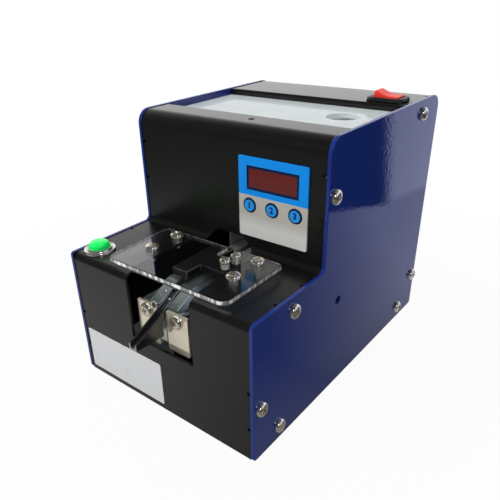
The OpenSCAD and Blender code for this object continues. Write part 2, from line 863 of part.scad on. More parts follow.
module button_nut() {
    color(zinc) translate([button_x, button_y, cover_step - cover_t - nut_h]) difference() {
        cylinder(d = barrel_d + 3, h = nut_h, $fn = 6);
        translate([0, 0, -over]) cylinder(d = barrel_d + 2 * fit, h = nut_h + 2 * over);
    }
}

module button_cap() {
    low = max(-cap_skirt, bezel_h - bore_l + button_travel + play);
    color("#12e060") translate([button_x, button_y, cover_step])
        turned_piece([
            [0, low, 0], [cap_d / 2, low, 0.4], [cap_d / 2, bezel_h + cap_h, cap_h * 0.85],
            [0, bezel_h + cap_h, 0]]);
}

// Clear guard plate on four spacers, with its notch
module guard_places() {
    translate([guard_x, guard_screw_y, 0]) four(guard_span_x / 2, guard_span_y / 2) children();
}

module adjust_places() {
    for (p = [adjust_front, adjust_rear]) translate([p.x, p.y, 0]) children();
}

module guard_plate() {
    w = guard_w / 2;
    n = notch_x - guard_x;
    color(clear) difference() {
        translate([guard_x, guard_y, guard_z]) linear_extrude(guard_t) polygon(rounded([
            [-w, 0, guard_r], [w, 0, guard_r], [w, guard_l, guard_r - 2],
            [n + notch_w / 2, guard_l, 0.6], [n + notch_w / 2, guard_l - notch_d, 1],
            [n - notch_w / 2, guard_l - notch_d, 1], [n - notch_w / 2, guard_l, 0.6],
            [-w, guard_l, guard_r - 2]]));
        guard_places() guard_hole();
        adjust_places() guard_hole();
    }
}

module guard_hole() {
    translate([0, 0, guard_z - over]) cylinder(d = adjust_hole_d, h = guard_t + 2 * over);
}

module guard_spacers() {
    color(zinc) guard_places() translate([0, 0, cover_step]) difference() {
        cylinder(d = spacer_d, h = guard_gap);
        translate([0, 0, -over]) cylinder(d = m3 + 2 * fit, h = guard_gap + 2 * over);
    }
}

module guard_screws() {
    color(nickel) guard_places() translate([0, 0, guard_top])
        pan_screw(m3, guard_head, m3_head_h, guard_t + guard_gap + cover_t + 2);
}

// Bar over the rail's slot with the arm that hangs from the guard plate
module hold_down() {
    color(plastic) difference() {
        union() {
            box([rail_x - hold_w / 2, hold_front, hold_top - hold_h],
                [rail_x + hold_w / 2, hold_back, hold_top]);
            box([rail_x, arm_y - arm_l / 2, hold_top - arm_t], [arm_x, arm_y + arm_l / 2, hold_top]);
        }
        adjust_places() translate([0, 0, hold_top - arm_t - over])
            cylinder(d = m3 + 2 * fit, h = arm_t + 2 * over);
    }
}

module adjusting_screws() {
    reach = guard_top - hold_top + arm_t + 1.5;
    color(nickel) adjust_places() translate([0, 0, guard_top])
        pan_screw(m3, m3_head, m3_head_h, reach);
}

// Close coils between the arm and the guard plate
module adjusting_springs() {
    gap = guard_z - hold_top;
    coils = ceil(gap / (0.9 * spring_wire));
    pitch = (gap - spring_wire) / (coils - 1);
    color(zinc) adjust_places() translate([0, 0, hold_top]) rotate_extrude()
        for (i = [0 : coils - 1])
            translate([(spring_d - spring_wire) / 2, spring_wire / 2 + i * pitch]) circle(d = spring_wire);
}

// Lid with a finger hole
module lid() {
    lid_r = 1.5;
    gap = 0.5;
    w = in_x - gap;
    color("#dfe5e8b0") difference() {
        translate([0, 0, lid_z]) linear_extrude(lid_t) polygon(rounded([
            [-w, flange_y + gap, lid_r], [w, flange_y + gap, lid_r],
            [w, lid_back - gap, lid_r], [-w, lid_back - gap, lid_r]]));
        rod_z(in_x - 24, lid_back - 24, lid_z - over, finger_d, lid_t + 2 * over);
    }
}

// Folded side of the hopper: ledge under the lid, wall, slope and lip
module hopper_side(side) {
    wall = in_x - ledge;
    foot = side * rail_x + pocket_half + hopper_t;
    fold = hopper_t + 0.3;
    color(zinc) mirror([side < 0 ? 1 : 0, 0, 0]) difference() {
        along(hopper_y + hopper_t, hopper_back - hopper_y - hopper_t) polygon(sheet([
            [in_x, hopper_z - hopper_t], [wall, hopper_z - hopper_t, fold],
            [wall, slope_low + slope_h, fold], [foot, slope_low, fold],
            [foot, slope_low - slope_lip]], hopper_t));
        box([wall, lid_back, hopper_z - fold - over], [in_x + over, hopper_back + over, hopper_z + over]);
    }
}

module hopper_left() {
    hopper_side(-1);
}

module hopper_right() {
    hopper_side(1);
}

// Front wall of the hopper, folded forward into a chamber for the brush
module hopper_front() {
    fold = hopper_t + 0.8;
    cheek = chamber_half;
    rail_gap = 0.8;
    arch = 10;
    color(zinc) difference() {
        translate([0, 0, chamber_z]) linear_extrude(hopper_z - chamber_z) polygon(sheet([
            [-in_x, hopper_y], [rail_x - cheek, hopper_y, fold], [rail_x - cheek, chamber_y, fold],
            [rail_x + cheek, chamber_y, fold], [rail_x + cheek, hopper_y, fold],
            [in_x, hopper_y]], -hopper_t));
        box([rail_x - rail_w / 2 - rail_gap, chamber_y - over, chamber_z - over],
            [rail_x + rail_w / 2 + rail_gap, chamber_y + hopper_t + over, rail_top + arch]);
        rod_x(rail_x - cheek - over, brush_y, brush_z, bush_d + 2 * fit, 2 * (cheek + over));
    }
}

// Rear wall of the hopper, stepped forward under the rocker switch
module hopper_rear() {
    fold = hopper_t + 0.8;
    w = in_x - ledge - hopper_t;
    front = lid_back - 3;
    color(zinc) across(-w, 2 * w) polygon(sheet([
        [hopper_back + hopper_t, pocket_z], [hopper_back + hopper_t, shelf_z, fold],
        [front + hopper_t, shelf_z, fold], [front + hopper_t, hopper_z]], -hopper_t));
}

// Trough that the scoop swings in
module scoop_pocket() {
    front = pivot_y - scoop_hub_r - 2;
    low_front = rail_bottom - 2;
    color(zinc) difference() {
        box([rail_x - pocket_half, front, pocket_z], [rail_x + pocket_half, hopper_back, slope_low]);
        box([rail_x - pocket_w / 2, front + hopper_t, pocket_z + hopper_t],
            [rail_x + pocket_w / 2, hopper_back + over, slope_low + over]);
        box([rail_x - pocket_w / 2, front - over, low_front],
            [rail_x + pocket_w / 2, front + hopper_t + over, slope_low + over]);
        rod_x(rail_x - pocket_half - over, pivot_y, pivot_z, bush_d + 2 * fit, 2 * (pocket_half + over));
    }
}

// Scoop: two blades with the screw slot between them, on a hub
module scoop() {
    half = scoop_w / 2;
    lead = 3.5;
    color(steel) difference() {
        translate([0, pivot_y, pivot_z]) union() {
            across(rail_x - half, scoop_w) polygon([
                [-lead, 0], [scoop_hub_r - 1, -3], [scoop_reach, scoop_rise - scoop_tip_h],
                [scoop_reach, scoop_rise], [-lead, scoop_rise]]);
            rod_x(rail_x - half, 0, 0, 2 * scoop_hub_r, scoop_w);
        }
        box([rail_x - slot_w / 2, pivot_y - scoop_hub_r - over, pivot_z + scoop_hub_r + 1],
            [rail_x + slot_w / 2, pivot_y + scoop_r + over, rail_top + over]);
        rod_x(rail_x - half - over, pivot_y, pivot_z, shaft_d + 2 * fit, scoop_w + 2 * over);
    }
}

module scoop_shaft() {
    from = rail_x - pocket_half - bush_flange_h - 1;
    color(steel) rod_x(from, pivot_y, pivot_z, shaft_d, rail_x + pocket_half + motor_bore_l - 1 - from);
}

// Gear motor that holds the end of a shaft
module gear_motor(x, y, z, d, length) {
    gearbox_l = length * 0.4;
    waist = 1;
    difference() {
        translate([x, y, z]) rotate([0, 90, 0]) turned_piece([
            [0, 0, 0], [d / 2, 0, 0.6], [d / 2, gearbox_l, 0.3], [d / 2 - waist, gearbox_l, 0],
            [d / 2 - waist, length, 1], [0, length, 0]]);
        rod_x(x - over, y, z, shaft_d + 2 * bore_play, motor_bore_l + over);
    }
}

module scoop_motor() {
    color(steel) gear_motor(rail_x + pocket_half, pivot_y, pivot_z, scoop_motor_d, scoop_motor_l);
}

module brush_motor() {
    color(steel) gear_motor(rail_x + chamber_half, brush_y, brush_z, brush_motor_d, brush_motor_l);
}

// Flanged bushes of the two shafts
module bush(x, y, z, wall, side) {
    translate([x, y, z]) rotate([0, side * 90, 0]) difference() {
        union() {
            cylinder(d = bush_d, h = wall);
            translate([0, 0, wall]) cylinder(d = bush_flange_d, h = bush_flange_h);
        }
        translate([0, 0, -over]) cylinder(d = shaft_d + 2 * bore_play, h = wall + bush_flange_h + 2 * over);
    }
}

module shaft_bushes() {
    color("#b08d4a") {
        bush(rail_x - pocket_half + hopper_t, pivot_y, pivot_z, hopper_t, -1);
        bush(rail_x - chamber_half + hopper_t, brush_y, brush_z, hopper_t, -1);
        bush(rail_x + pocket_half, pivot_y, pivot_z, hopper_t, -1);
        bush(rail_x + chamber_half, brush_y, brush_z, hopper_t, -1);
    }
}

// Brush: a hub with rows of bristle tufts
module brush() {
    rows = 4;
    tufts = 12;
    tuft_d = 2.4;
    root = 1;
    color("#d8c9a0") difference() {
        union() {
            rod_x(rail_x - brush_w / 2, brush_y, brush_z, 2 * brush_hub_r, brush_w);
            for (r = [0 : rows - 1], t = [0 : tufts - 1])
                translate([rail_x + ((r + 0.5) / rows - 0.5) * brush_w, brush_y, brush_z])
                    rotate([(t + (r % 2) / 2) * 360 / tufts, 0, 0])
                        translate([0, 0, brush_hub_r - root])
                            cylinder(d = tuft_d, h = brush_r - brush_hub_r + root, $fn = 16);
        }
        rod_x(rail_x - brush_w, brush_y, brush_z, shaft_d + 2 * fit, 2 * brush_w);
    }
}

module brush_shaft() {
    from = rail_x - chamber_half - bush_flange_h - 1;
    color(steel) rod_x(from, brush_y, brush_z, shaft_d, rail_x + chamber_half + motor_bore_l - 1 - from);
}

// Side view of a rail whose top lies lower by the given amount
module rail_side(lower) {
    polygon(rounded([
        [rail_front, rail_bottom, 0], [rail_back, rail_bottom, 0], [rail_back, rail_top - lower, 0.8],
        [rail_front + rail_slope_l, rail_top - lower, 20], [rail_front, rail_tip_z - lower, 0.8]]));
}

// Rails: bars with a sloping front end on a wider foot, further apart beside the chute
module rail(side) {
    chute_room = chute_w / 2 + 0.3;
    inner = slot_w / 2;
    foot_top = rail_bottom + rail_foot_h + (side < 0 ? left_foot_rise : 0);
    color(steel) translate([rail_x, 0, 0]) mirror([side < 0 ? 1 : 0, 0, 0]) difference() {
        union() {
            hull() {
                across(inner, rail_w / 2 - rail_chamfer - inner) rail_side(0);
                across(inner, rail_w / 2 - inner) rail_side(rail_chamfer);
            }
            box([inner, rail_front, rail_bottom], [rail_foot_w / 2, rail_front + carrier_l, foot_top]);
        }
        box([inner - over, rail_front - over, rail_bottom - over],
            [chute_room, chute_back + 0.5, rail_top + over]);
        rod_y(bracket_x, rail_front - over, bracket_screw_z, m4 + 2 * fit, bracket_screw_l + over);
    }
}

module rail_left() {
    rail(-1);
}

module rail_right() {
    rail(1);
}

// Front brackets that hold the rails on the carrier
module rail_brackets() {
    color(nickel) for (side = [-1, 1]) difference() {
        along(bracket_y, bracket_t) polygon(rounded([
            for (c = [[-0.5, -1], [0.5, -1], [0.5, 0], [-0.5, 0]])
                [rail_x + side * bracket_x + c.x * bracket_w, bracket_top + c.y * bracket_h, 0.8]]));
        rod_y(rail_x + side * bracket_x, bracket_y - over, bracket_screw_z, m4 + 0.3, bracket_t + 2 * over);
    }
}

module bracket_screws() {
    color(zinc) for (side = [-1, 1])
        translate([rail_x + side * bracket_x, bracket_y, bracket_screw_z]) rotate([90, 0, 0])
            pan_screw(m4, m4_head, m4_head_h, bracket_t + bracket_screw_l - 1);
}

// Chute: a bowed channel between two walls, with a flange on the carrier's front
function chute_at(t) = [
    chute_back + (chute_tip - chute_back) * t,
    chute_z - chute_fall * ((1 + chute_bow) * t - chute_bow * t * t)];

function skirt_at(y) = chute_at((chute_back - y) / (chute_back - chute_tip)).y - chute_skirt;

module chute() {
    half = chute_w / 2;
    crest = [for (i = [0 : chute_steps]) chute_at(i / chute_steps)];
    tip = crest[chute_steps];
    wall_back = bracket_y - chute_gap;
    skirt = [for (p = crest) if (p.x > wall_back) p - [0, chute_skirt]];
    join = skirt_at(wall_back);
    color(black) {
        for (x = [-half, half - chute_t])
            across(rail_x + x, chute_t) polygon(concat(
                crest, [tip - [0, chute_tip_h], [wall_back, tip.y - chute_tip_h - 1], [wall_back, join]],
                reverse(skirt)));
        across(rail_x - half, chute_w) polygon(concat(
            [for (p = crest) p - [0, chute_depth]],
            reverse([for (p = crest) p - [0, chute_depth + chute_t]])));
        box([rail_x - half, bracket_y, carrier_z], [rail_x + half, rail_front, skirt_at(rail_front) + 1]);
    }
}

// Bar that carries the rails on the leaf springs
module rail_carrier() {
    half = rail_foot_w / 2;
    color(steel) difference() {
        box([rail_x - half, rail_front, carrier_z], [rail_x + half, rail_front + carrier_l, rail_bottom]);
        for (y = leaf_y)
            box([rail_x - leaf_w / 2 - play, y - leaf_slot / 2, carrier_z - over],
                [rail_x + leaf_w / 2 + play, y + leaf_slot / 2, carrier_z + leaf_in + play]);
    }
}

module leaf_springs() {
    color("#4a5a66") for (y = leaf_y)
        box([rail_x - leaf_w / 2, y - leaf_t / 2, core_z - leaf_in],
            [rail_x + leaf_w / 2, y + leaf_t / 2, carrier_z + leaf_in]);
}

module vibrator_base() {
    half = vib_w / 2;
    color("#6d7274") difference() {
        box([rail_x - half, vib_y, vib_z], [rail_x + half, vib_y + vib_l, core_z]);
        for (y = leaf_y)
            box([rail_x - leaf_w / 2 - fit, y - leaf_t / 2 - fit, core_z - leaf_in],
                [rail_x + leaf_w / 2 + fit, y + leaf_t / 2 + fit, core_z + over]);
    }
}

module vibrator_mounts() {
    in = 6;
    r = 4.5;
    waist_r = 3.6;
    color(rubber) translate([rail_x, vib_y + vib_l / 2, floor_z])
        four(vib_w / 2 - in, vib_l / 2 - in) turned_piece([
            [0, 0, 0], [r, 0, 0.4], [waist_r, mount_h / 2, 1], [r, mount_h, 0.4], [0, mount_h, 0]]);
}

// Magnet that pulls the armature under the carrier
module magnet_core() {
    half = core_w / 2;
    color(iron) {
        box([rail_x - half, core_y, core_z], [rail_x + half, core_y + yoke_t, core_z + core_h]);
        rod_y(rail_x, core_y + yoke_t - over, core_z + core_h / 2, pole_d, core_l - yoke_t + over);
    }
}

module magnet_coil() {
    coil_l = core_l - yoke_t - over;
    color(copper) translate([rail_x, core_y + yoke_t, core_z + core_h / 2]) rotate([-90, 0, 0])
        difference() {
            cylinder(d = coil_d, h = coil_l);
            translate([0, 0, -over]) cylinder(d = pole_d + 2 * fit, h = coil_l + 2 * over);
        }
}

module armature() {
    half = core_w / 2;
    y = core_y + core_l + core_gap;
    low = core_z + core_h / 2 - pole_d / 2 - 2;
    color(iron) box([rail_x - half, y, low], [rail_x + half, y + armature_t, carrier_z]);
}

// Control board on spacers at the rear, and its parts
module board_corners() {
    translate([board_x, board_y + board_l / 2, 0])
        four(board_w / 2 - spacer_in, board_l / 2 - spacer_in) children();
}

module control_board() {
    color(board_green) difference() {
        box([board_x - board_w / 2, board_y, board_z],
            [board_x + board_w / 2, board_y + board_l, board_z + board_t]);
        board_corners() translate([0, 0, board_z - over])
            cylinder(d = m3 + 2 * fit, h = board_t + 2 * over);
    }
}

module board_spacers() {
    color(nickel) board_corners() {
        translate([0, 0, floor_z]) cylinder(d = m3 + 2.5, h = board_z - floor_z, $fn = 6);
        translate([0, 0, board_z - over]) cylinder(d = m3, h = over + board_t + 3);
    }
}

module board_parts() {
    top = board_z + board_t;
    left = board_x - board_w / 2;
    relay = [18, 15, 15];
    chip = [14, 14, 3];
    can_d = 7;
    can_h = 12;
    cans = 3;
    plug = [10, 8, 9];
    plugs = 4;
    plug_pitch = board_w * 0.19;
    plug_y = board_y + board_l - plug.y - 1;
    row_y = board_y + board_l * 0.32;
    color(plastic) {
        translate([left + board_w * 0.1, row_y - relay.y / 4, top]) cube(relay);
        translate([left + board_w * 0.42, row_y, top]) cube(chip);
        for (i = [0 : cans - 1]) rod_z(left + board_w * (0.7 + 0.11 * i), row_y, top, can_d, can_h);
        for (i = [0 : plugs - 1])
            translate([left + board_w * 0.12 + i * plug_pitch, plug_y, top]) cube(plug);
    }
}

// Power inlet through the rear cover, and its nut
module dc_jack() {
    pin_d = 2;
    color(plastic) translate([jack_x, inner_rear, jack_z]) rotate([-90, 0, 0]) {
        difference() {
            union() {
                translate([0, 0, -jack_l]) cylinder(d = jack_d, h = jack_l);
                translate([0, 0, -over])
                    cylinder(d = jack_thread_d, h = over + cover_t + cover_inset + jack_reach);
            }
            translate([0, 0, -jack_l + 3]) cylinder(d = jack_bore_d, h = 2 * jack_l);
        }
        translate([0, 0, -jack_l + 2]) cylinder(d = pin_d, h = jack_l - 1);
    }
}

module jack_nut() {
    color(zinc) translate([jack_x, cover_rear, jack_z]) rotate([-90, 0, 0]) difference() {
        cylinder(d = jack_d + 1, h = 2, $fn = 6);
        translate([0, 0, -over]) cylinder(d = jack_thread_d + 2 * fit, h = 2 + 2 * over);
    }
}

base_plate();
left_side_plate();
right_side_plate();
front_cover();
rear_cover();
left_side_screws();
right_side_screws();
rubber_feet();
foot_screws();
front_label();
display_panel();
display_window();
display_board();
led_digits();
key_switches();
display_standoffs();
key_1();
key_2();
key_3();
rocker_frame();
rocker_cap();
button_body();
button_nut();
button_cap();
guard_plate();
guard_spacers();
guard_screws();
hold_down();
adjusting_screws();
adjusting_springs();
lid();
hopper_left();
hopper_right();
hopper_front();
hopper_rear();
scoop_pocket();
scoop();
scoop_shaft();
scoop_motor();
brush();
brush_shaft();
brush_motor();
shaft_bushes();
rail_left();
rail_right();
rail_brackets();
bracket_screws();
chute();
rail_carrier();
leaf_springs();
vibrator_base();
vibrator_mounts();
magnet_core();
magnet_coil();
armature();
control_board();
board_parts();
board_spacers();
dc_jack();
jack_nut();
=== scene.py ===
import json
import math

import bpy
from mathutils import Matrix, Vector

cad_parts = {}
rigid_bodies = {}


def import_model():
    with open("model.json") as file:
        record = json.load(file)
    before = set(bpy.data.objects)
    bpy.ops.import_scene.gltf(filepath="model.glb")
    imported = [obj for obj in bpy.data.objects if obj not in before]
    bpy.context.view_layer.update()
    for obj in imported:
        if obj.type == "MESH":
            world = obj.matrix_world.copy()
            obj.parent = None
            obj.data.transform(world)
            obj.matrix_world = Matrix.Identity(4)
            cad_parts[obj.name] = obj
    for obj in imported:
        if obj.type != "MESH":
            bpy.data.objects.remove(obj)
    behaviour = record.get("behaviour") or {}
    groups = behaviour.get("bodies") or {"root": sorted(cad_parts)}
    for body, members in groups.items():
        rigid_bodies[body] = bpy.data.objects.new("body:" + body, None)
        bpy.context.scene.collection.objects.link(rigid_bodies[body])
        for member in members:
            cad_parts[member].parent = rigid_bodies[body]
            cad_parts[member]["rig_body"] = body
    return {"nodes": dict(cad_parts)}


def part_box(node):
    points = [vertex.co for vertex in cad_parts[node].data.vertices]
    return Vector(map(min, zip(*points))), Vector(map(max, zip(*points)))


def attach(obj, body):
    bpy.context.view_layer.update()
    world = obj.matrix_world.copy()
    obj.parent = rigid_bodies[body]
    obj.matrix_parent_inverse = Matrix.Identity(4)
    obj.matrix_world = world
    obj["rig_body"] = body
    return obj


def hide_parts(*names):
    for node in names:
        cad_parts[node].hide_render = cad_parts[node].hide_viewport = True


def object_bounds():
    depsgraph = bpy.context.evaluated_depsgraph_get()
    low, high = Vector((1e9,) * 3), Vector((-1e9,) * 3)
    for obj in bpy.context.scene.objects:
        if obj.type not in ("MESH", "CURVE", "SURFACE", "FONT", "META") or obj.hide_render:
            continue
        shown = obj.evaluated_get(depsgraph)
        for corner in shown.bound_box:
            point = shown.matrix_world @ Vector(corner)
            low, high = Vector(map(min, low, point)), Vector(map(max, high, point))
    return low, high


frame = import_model()
cadLow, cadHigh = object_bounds()
nodes = frame["nodes"]
mm = 0.001
bpy.ops.object.select_all(action="DESELECT")
print("frame loaded,", len(nodes), "CAD nodes")


# Selecting, naming and joining

def makeActive(piece):
    bpy.ops.object.select_all(action="DESELECT")
    piece.select_set(True)
    bpy.context.view_layer.objects.active = piece


def newObject(name, data):
    piece = bpy.data.objects.new(name, data)
    bpy.context.scene.collection.objects.link(piece)
    return piece


def addPiece(operator, **values):
    bpy.ops.object.select_all(action="DESELECT")
    operator(**values)
    return bpy.context.active_object


def namePiece(piece, name):
    piece.name = piece.data.name = name
    return piece


def editAll(piece):
    makeActive(piece)
    bpy.ops.object.mode_set(mode="EDIT")
    bpy.ops.mesh.select_all(action="SELECT")


def editDone():
    bpy.ops.object.mode_set(mode="OBJECT")


def smoothBelow(piece, angle):
    makeActive(piece)
    bpy.ops.object.shade_smooth_by_angle(angle=math.radians(angle))


def applyAll(piece):
    makeActive(piece)
    for modifier in list(piece.modifiers):
        bpy.ops.object.modifier_apply(modifier=modifier.name)


def joinPieces(pieces, name):
    makeActive(pieces[0])
    for piece in pieces:
        piece.select_set(True)
    if len(pieces) > 1:
        bpy.ops.object.join()
    return namePiece(bpy.context.active_object, name)


def intoMesh(piece, matrix):
    piece.data.transform(matrix @ piece.matrix_world)
    piece.matrix_world = Matrix.Identity(4)


def copyPiece(piece, matrix):
    twin = newObject(piece.name + "Copy", piece.data.copy())
    twin.data.transform(matrix)
    return twin


def dropPiece(piece):
    bpy.data.objects.remove(piece)


# Copies of CAD nodes, merged and with rounded edges

copyShape = {"mergeGap": 0.002 * mm, "flatAngle": 0.6, "edgeAngle": 32, "smoothAngle": 50, "evenness": 100}


def roundEdges(piece, width, segments, edgeSlot):
    bevel = piece.modifiers.new("softEdge", "BEVEL")
    bevel.width = width
    bevel.material = edgeSlot
    bevel.segments = segments
    bevel.limit_method = "ANGLE"
    bevel.angle_limit = math.radians(copyShape["edgeAngle"])
    bevel.use_clamp_overlap = False
    bevel.miter_outer = "MITER_ARC"
    even = piece.modifiers.new("evenShade", "WEIGHTED_NORMAL")
    even.weight = copyShape["evenness"]
    even.keep_sharp = True
    smoothBelow(piece, copyShape["smoothAngle"])
    applyAll(piece)


def mergedCopy(nodeName, pieceName):
    mesh = nodes[nodeName].data.copy()
    mesh.name = pieceName
    piece = newObject(pieceName, mesh)
    makeActive(piece)
    if mesh.has_custom_normals:
        bpy.ops.mesh.customdata_custom_splitnormals_clear()
    editAll(piece)
    bpy.ops.mesh.remove_doubles(threshold=copyShape["mergeGap"])
    bpy.ops.mesh.dissolve_limited(angle_limit=math.radians(copyShape["flatAngle"]))
    editDone()
    return piece


def islandBoxes(nodeName):
    editAll(mergedCopy(nodeName, nodeName + "Islands"))
    bpy.ops.mesh.separate(type="LOOSE")
    editDone()
    boxes = []
    for part in list(bpy.context.selected_objects):
        places = [vertex.co for vertex in part.data.vertices]
        low = Vector([min(p[axis] for p in places) for axis in range(3)])
        high = Vector([max(p[axis] for p in places) for axis in range(3)])
        boxes.append((low, high))
        dropPiece(part)
    return sorted(boxes, key=lambda box: [round(v, 5) for v in box[0]])


def dress(piece, *materials):
    piece.data.materials.clear()
    for material in materials:
        piece.data.materials.append(material)
    return piece


def rideLike(piece, nodeName):
    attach(piece, nodes[nodeName]["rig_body"])


def standFor(piece, nodeName):
    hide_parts(nodeName)
    rideLike(piece, nodeName)
    return piece


# A second finish goes on the rounded edges

def softCopy(nodeName, pieceName, width, *materials, segments=2):
    piece = dress(mergedCopy(nodeName, pieceName), *materials)
    roundEdges(piece, width, segments, len(materials) - 1)
    return standFor(piece, nodeName)


# A ring is drawn, then pulled up and scaled from step to step: (radius, height) pairs

turnedShape = {"mergeGap": 0.001 * mm, "smoothAngle": 34}


def turnedPiece(name, profile, sides):
    firstR, firstZ = profile[0]
    piece = addPiece(bpy.ops.mesh.primitive_circle_add, vertices=sides, radius=firstR, fill_type="NGON")
    editAll(namePiece(piece, name))
    bpy.ops.transform.translate(value=(0, 0, firstZ))
    for (r0, z0), (r1, z1) in zip(profile, profile[1:]):
        bpy.ops.mesh.extrude_region_move(TRANSFORM_OT_translate={"value": (0, 0, z1 - z0)})
        bpy.ops.transform.resize(value=(r1 / r0, r1 / r0, 1), center_override=(0, 0, 0))
    bpy.ops.mesh.select_all(action="SELECT")
    bpy.ops.mesh.remove_doubles(threshold=turnedShape["mergeGap"])
    bpy.ops.mesh.fill_holes(sides=0)
    bpy.ops.mesh.normals_make_consistent(inside=False)
    editDone()
    smoothBelow(piece, turnedShape["smoothAngle"])
    return piece


def turnTo(axis):
    return Vector((0, 0, 1)).rotation_difference(Vector(axis)).to_matrix().to_4x4()


# Node helpers

def newMaterial(name):
    material = bpy.data.materials.new(name)
    material.use_nodes = True
    tree = material.node_tree
    place = tree.nodes.new("ShaderNodeTexCoord").outputs["Object"]
    return material, tree, tree.nodes["Principled BSDF"], place


def setInputs(tree, node, values):
    for title, value in values.items():
        socket = node.inputs[title]
        if isinstance(value, bpy.types.NodeSocket):
            tree.links.new(value, socket)
        else:
            socket.default_value = (*value, 1) if socket.type == "RGBA" else value


def addNode(tree, kind, values, **settings):
    node = tree.nodes.new("ShaderNode" + kind)
    for title, value in settings.items():
        setattr(node, title, value)
    setInputs(tree, node, values)
    return node


def calc(tree, operation, *values):
    return addNode(tree, "Math", dict(enumerate(values)), operation=operation).outputs[0]


def mixed(tree, factor, first, second):
    return addNode(tree, "Mix", {0: factor, 6: first, 7: second}, data_type="RGBA").outputs[2]


def mixedShaders(tree, factor, first, second):
    return addNode(tree, "MixShader", {0: factor, 1: first.outputs[0], 2: second.outputs[0]})


def ranged(tree, value, low, high, toLow=0.0, toHigh=1.0):
    return addNode(tree, "MapRange", dict(enumerate((value, low, high, toLow, toHigh)))).outputs[0]


def stretched(tree, place, scale):
    return addNode(tree, "Mapping", {"Vector": place, "Scale": scale}).outputs[0]


def noise(tree, place, scale, detail=2.0, roughness=0.5):
    return addNode(tree, "TexNoise", {"Vector": place, "Scale": scale, "Detail": detail,
                                      "Roughness": roughness}).outputs["Fac"]


def axes(tree, place):
    return addNode(tree, "SeparateXYZ", {0: place}).outputs


def distanceFrom(tree, place, point):
    return addNode(tree, "VectorMath", {0: place, 1: point}, operation="DISTANCE").outputs["Value"]


def scaled(tree, colour, share):
    return addNode(tree, "VectorMath", {0: colour, "Scale": share}, operation="SCALE").outputs[0]


def grey(tree, level):
    return addNode(tree, "CombineColor", {0: level, 1: level, 2: level}).outputs[0]


# Effects that several finishes share; a pair is a noise's detail and roughness

grainInputs = {"Place": "Vector", "Colour": "Color", "Scale": "Float", "Spread": "Float",
               "Roughness": "Float", "Rub": "Float"}
grainOutputs = {"Colour": "Color", "Roughness": "Float", "Height": "Float"}
coatShape = {"peel": (1.0, 0.4), "fine": (1.0, 0.5), "fineScale": 3.1, "fineShare": 0.25,
             "broad": (4.0, 0.55), "broadScale": 22.0}
brushedShape = {"lines": (3.0, 0.6), "lineShare": 0.6, "cloud": (3.0, 0.5), "cloudScale": 0.11}


def newGrain(name):
    group = bpy.data.node_groups.new(name, "ShaderNodeTree")
    for way, sockets in (("INPUT", grainInputs), ("OUTPUT", grainOutputs)):
        for title, kind in sockets.items():
            group.interface.new_socket(title, in_out=way, socket_type="NodeSocket" + kind)
    return group, group.nodes.new("NodeGroupInput").outputs


def giveGrain(group, given, swing, rubSwing, height):
    tone = calc(group, "MULTIPLY_ADD", swing, given["Spread"], 1.0)
    rubbed = calc(group, "MULTIPLY_ADD", rubSwing, given["Rub"], given["Roughness"])
    setInputs(group, group.nodes.new("NodeGroupOutput"), {
        "Colour": scaled(group, given["Colour"], tone), "Roughness": rubbed, "Height": height})
    return group


def makeCoatGrain():
    group, given = newGrain("coatGrain")
    fineScale = calc(group, "MULTIPLY", given["Scale"], coatShape["fineScale"])
    peel = noise(group, given["Place"], given["Scale"], *coatShape["peel"])
    fine = noise(group, given["Place"], fineScale, *coatShape["fine"])
    broad = noise(group, given["Place"], coatShape["broadScale"], *coatShape["broad"])
    cloud = calc(group, "SUBTRACT", broad, 0.5)
    swing = calc(group, "ADD", cloud, calc(group, "SUBTRACT", fine, 0.5))
    height = calc(group, "MULTIPLY_ADD", fine, coatShape["fineShare"], peel)
    return giveGrain(group, given, swing, cloud, height)


def makeBrushedGrain():
    group, given = newGrain("brushedGrain")
    cloudScale = calc(group, "MULTIPLY", given["Scale"], brushedShape["cloudScale"])
    lines = noise(group, given["Place"], given["Scale"], *brushedShape["lines"])
    cloud = noise(group, given["Place"], cloudScale, *brushedShape["cloud"])
    both = calc(group, "MULTIPLY_ADD", lines, brushedShape["lineShare"],
                calc(group, "MULTIPLY", cloud, 1 - brushedShape["lineShare"]))
    swing = calc(group, "SUBTRACT", both, 0.5)
    return giveGrain(group, given, swing, swing, lines)


coatGrain = makeCoatGrain()
brushedGrain = makeBrushedGrain()
print("shared effects ready")


def placeGrain(tree, group, place, field, look):
    values = {title: look[title.lower()] for title in ("Scale", "Spread", "Roughness", "Rub")}
    return addNode(tree, "Group", {"Place": place, "Colour": field, **values}, node_tree=group).outputs


def layGrain(tree, shader, grain, height, look):
    bump = addNode(tree, "Bump", {"Height": height, "Strength": look["bump"], "Distance": look["depth"]})
    setInputs(tree, shader, {"Base Color": grain["Colour"], "Roughness": grain["Roughness"],
                             "Normal": bump.outputs[0], **look.get("sockets", {})})


# Coats: a look gives what differs from the base

coatBase = {"rub": 0.1, "bump": 0.05, "depth": 0.03 * mm}


def layCoat(tree, shader, place, field, look):
    look = {**coatBase, **look}
    grain = placeGrain(tree, coatGrain, place, field, look)
    layGrain(tree, shader, grain, grain["Height"], look)


def coatedFinish(name, look):
    material, tree, shader, place = newMaterial(name)
    layCoat(tree, shader, place, look["colour"], look)
    return material


# Painted sheets; below the lid the plates' inner side is painted near-black, a painted shade for the dark
# inside of the housing

navyLook = {"colour": (0.011, 0.031, 0.205), "inner": (0.004, 0.0045, 0.009), "innerMargin": 0.1 * mm,
            "scale": 420.0, "spread": 0.12, "roughness": 0.04, "rub": 0.02, "bump": 0.5, "depth": 0.05 * mm}
blackLook = {"colour": (0.0064, 0.0064, 0.0057), "scale": 900.0, "spread": 0.3, "roughness": 0.3,
             "rub": 0.05, "lowAngle": (0.6, 0.78), "polish": 0.35}


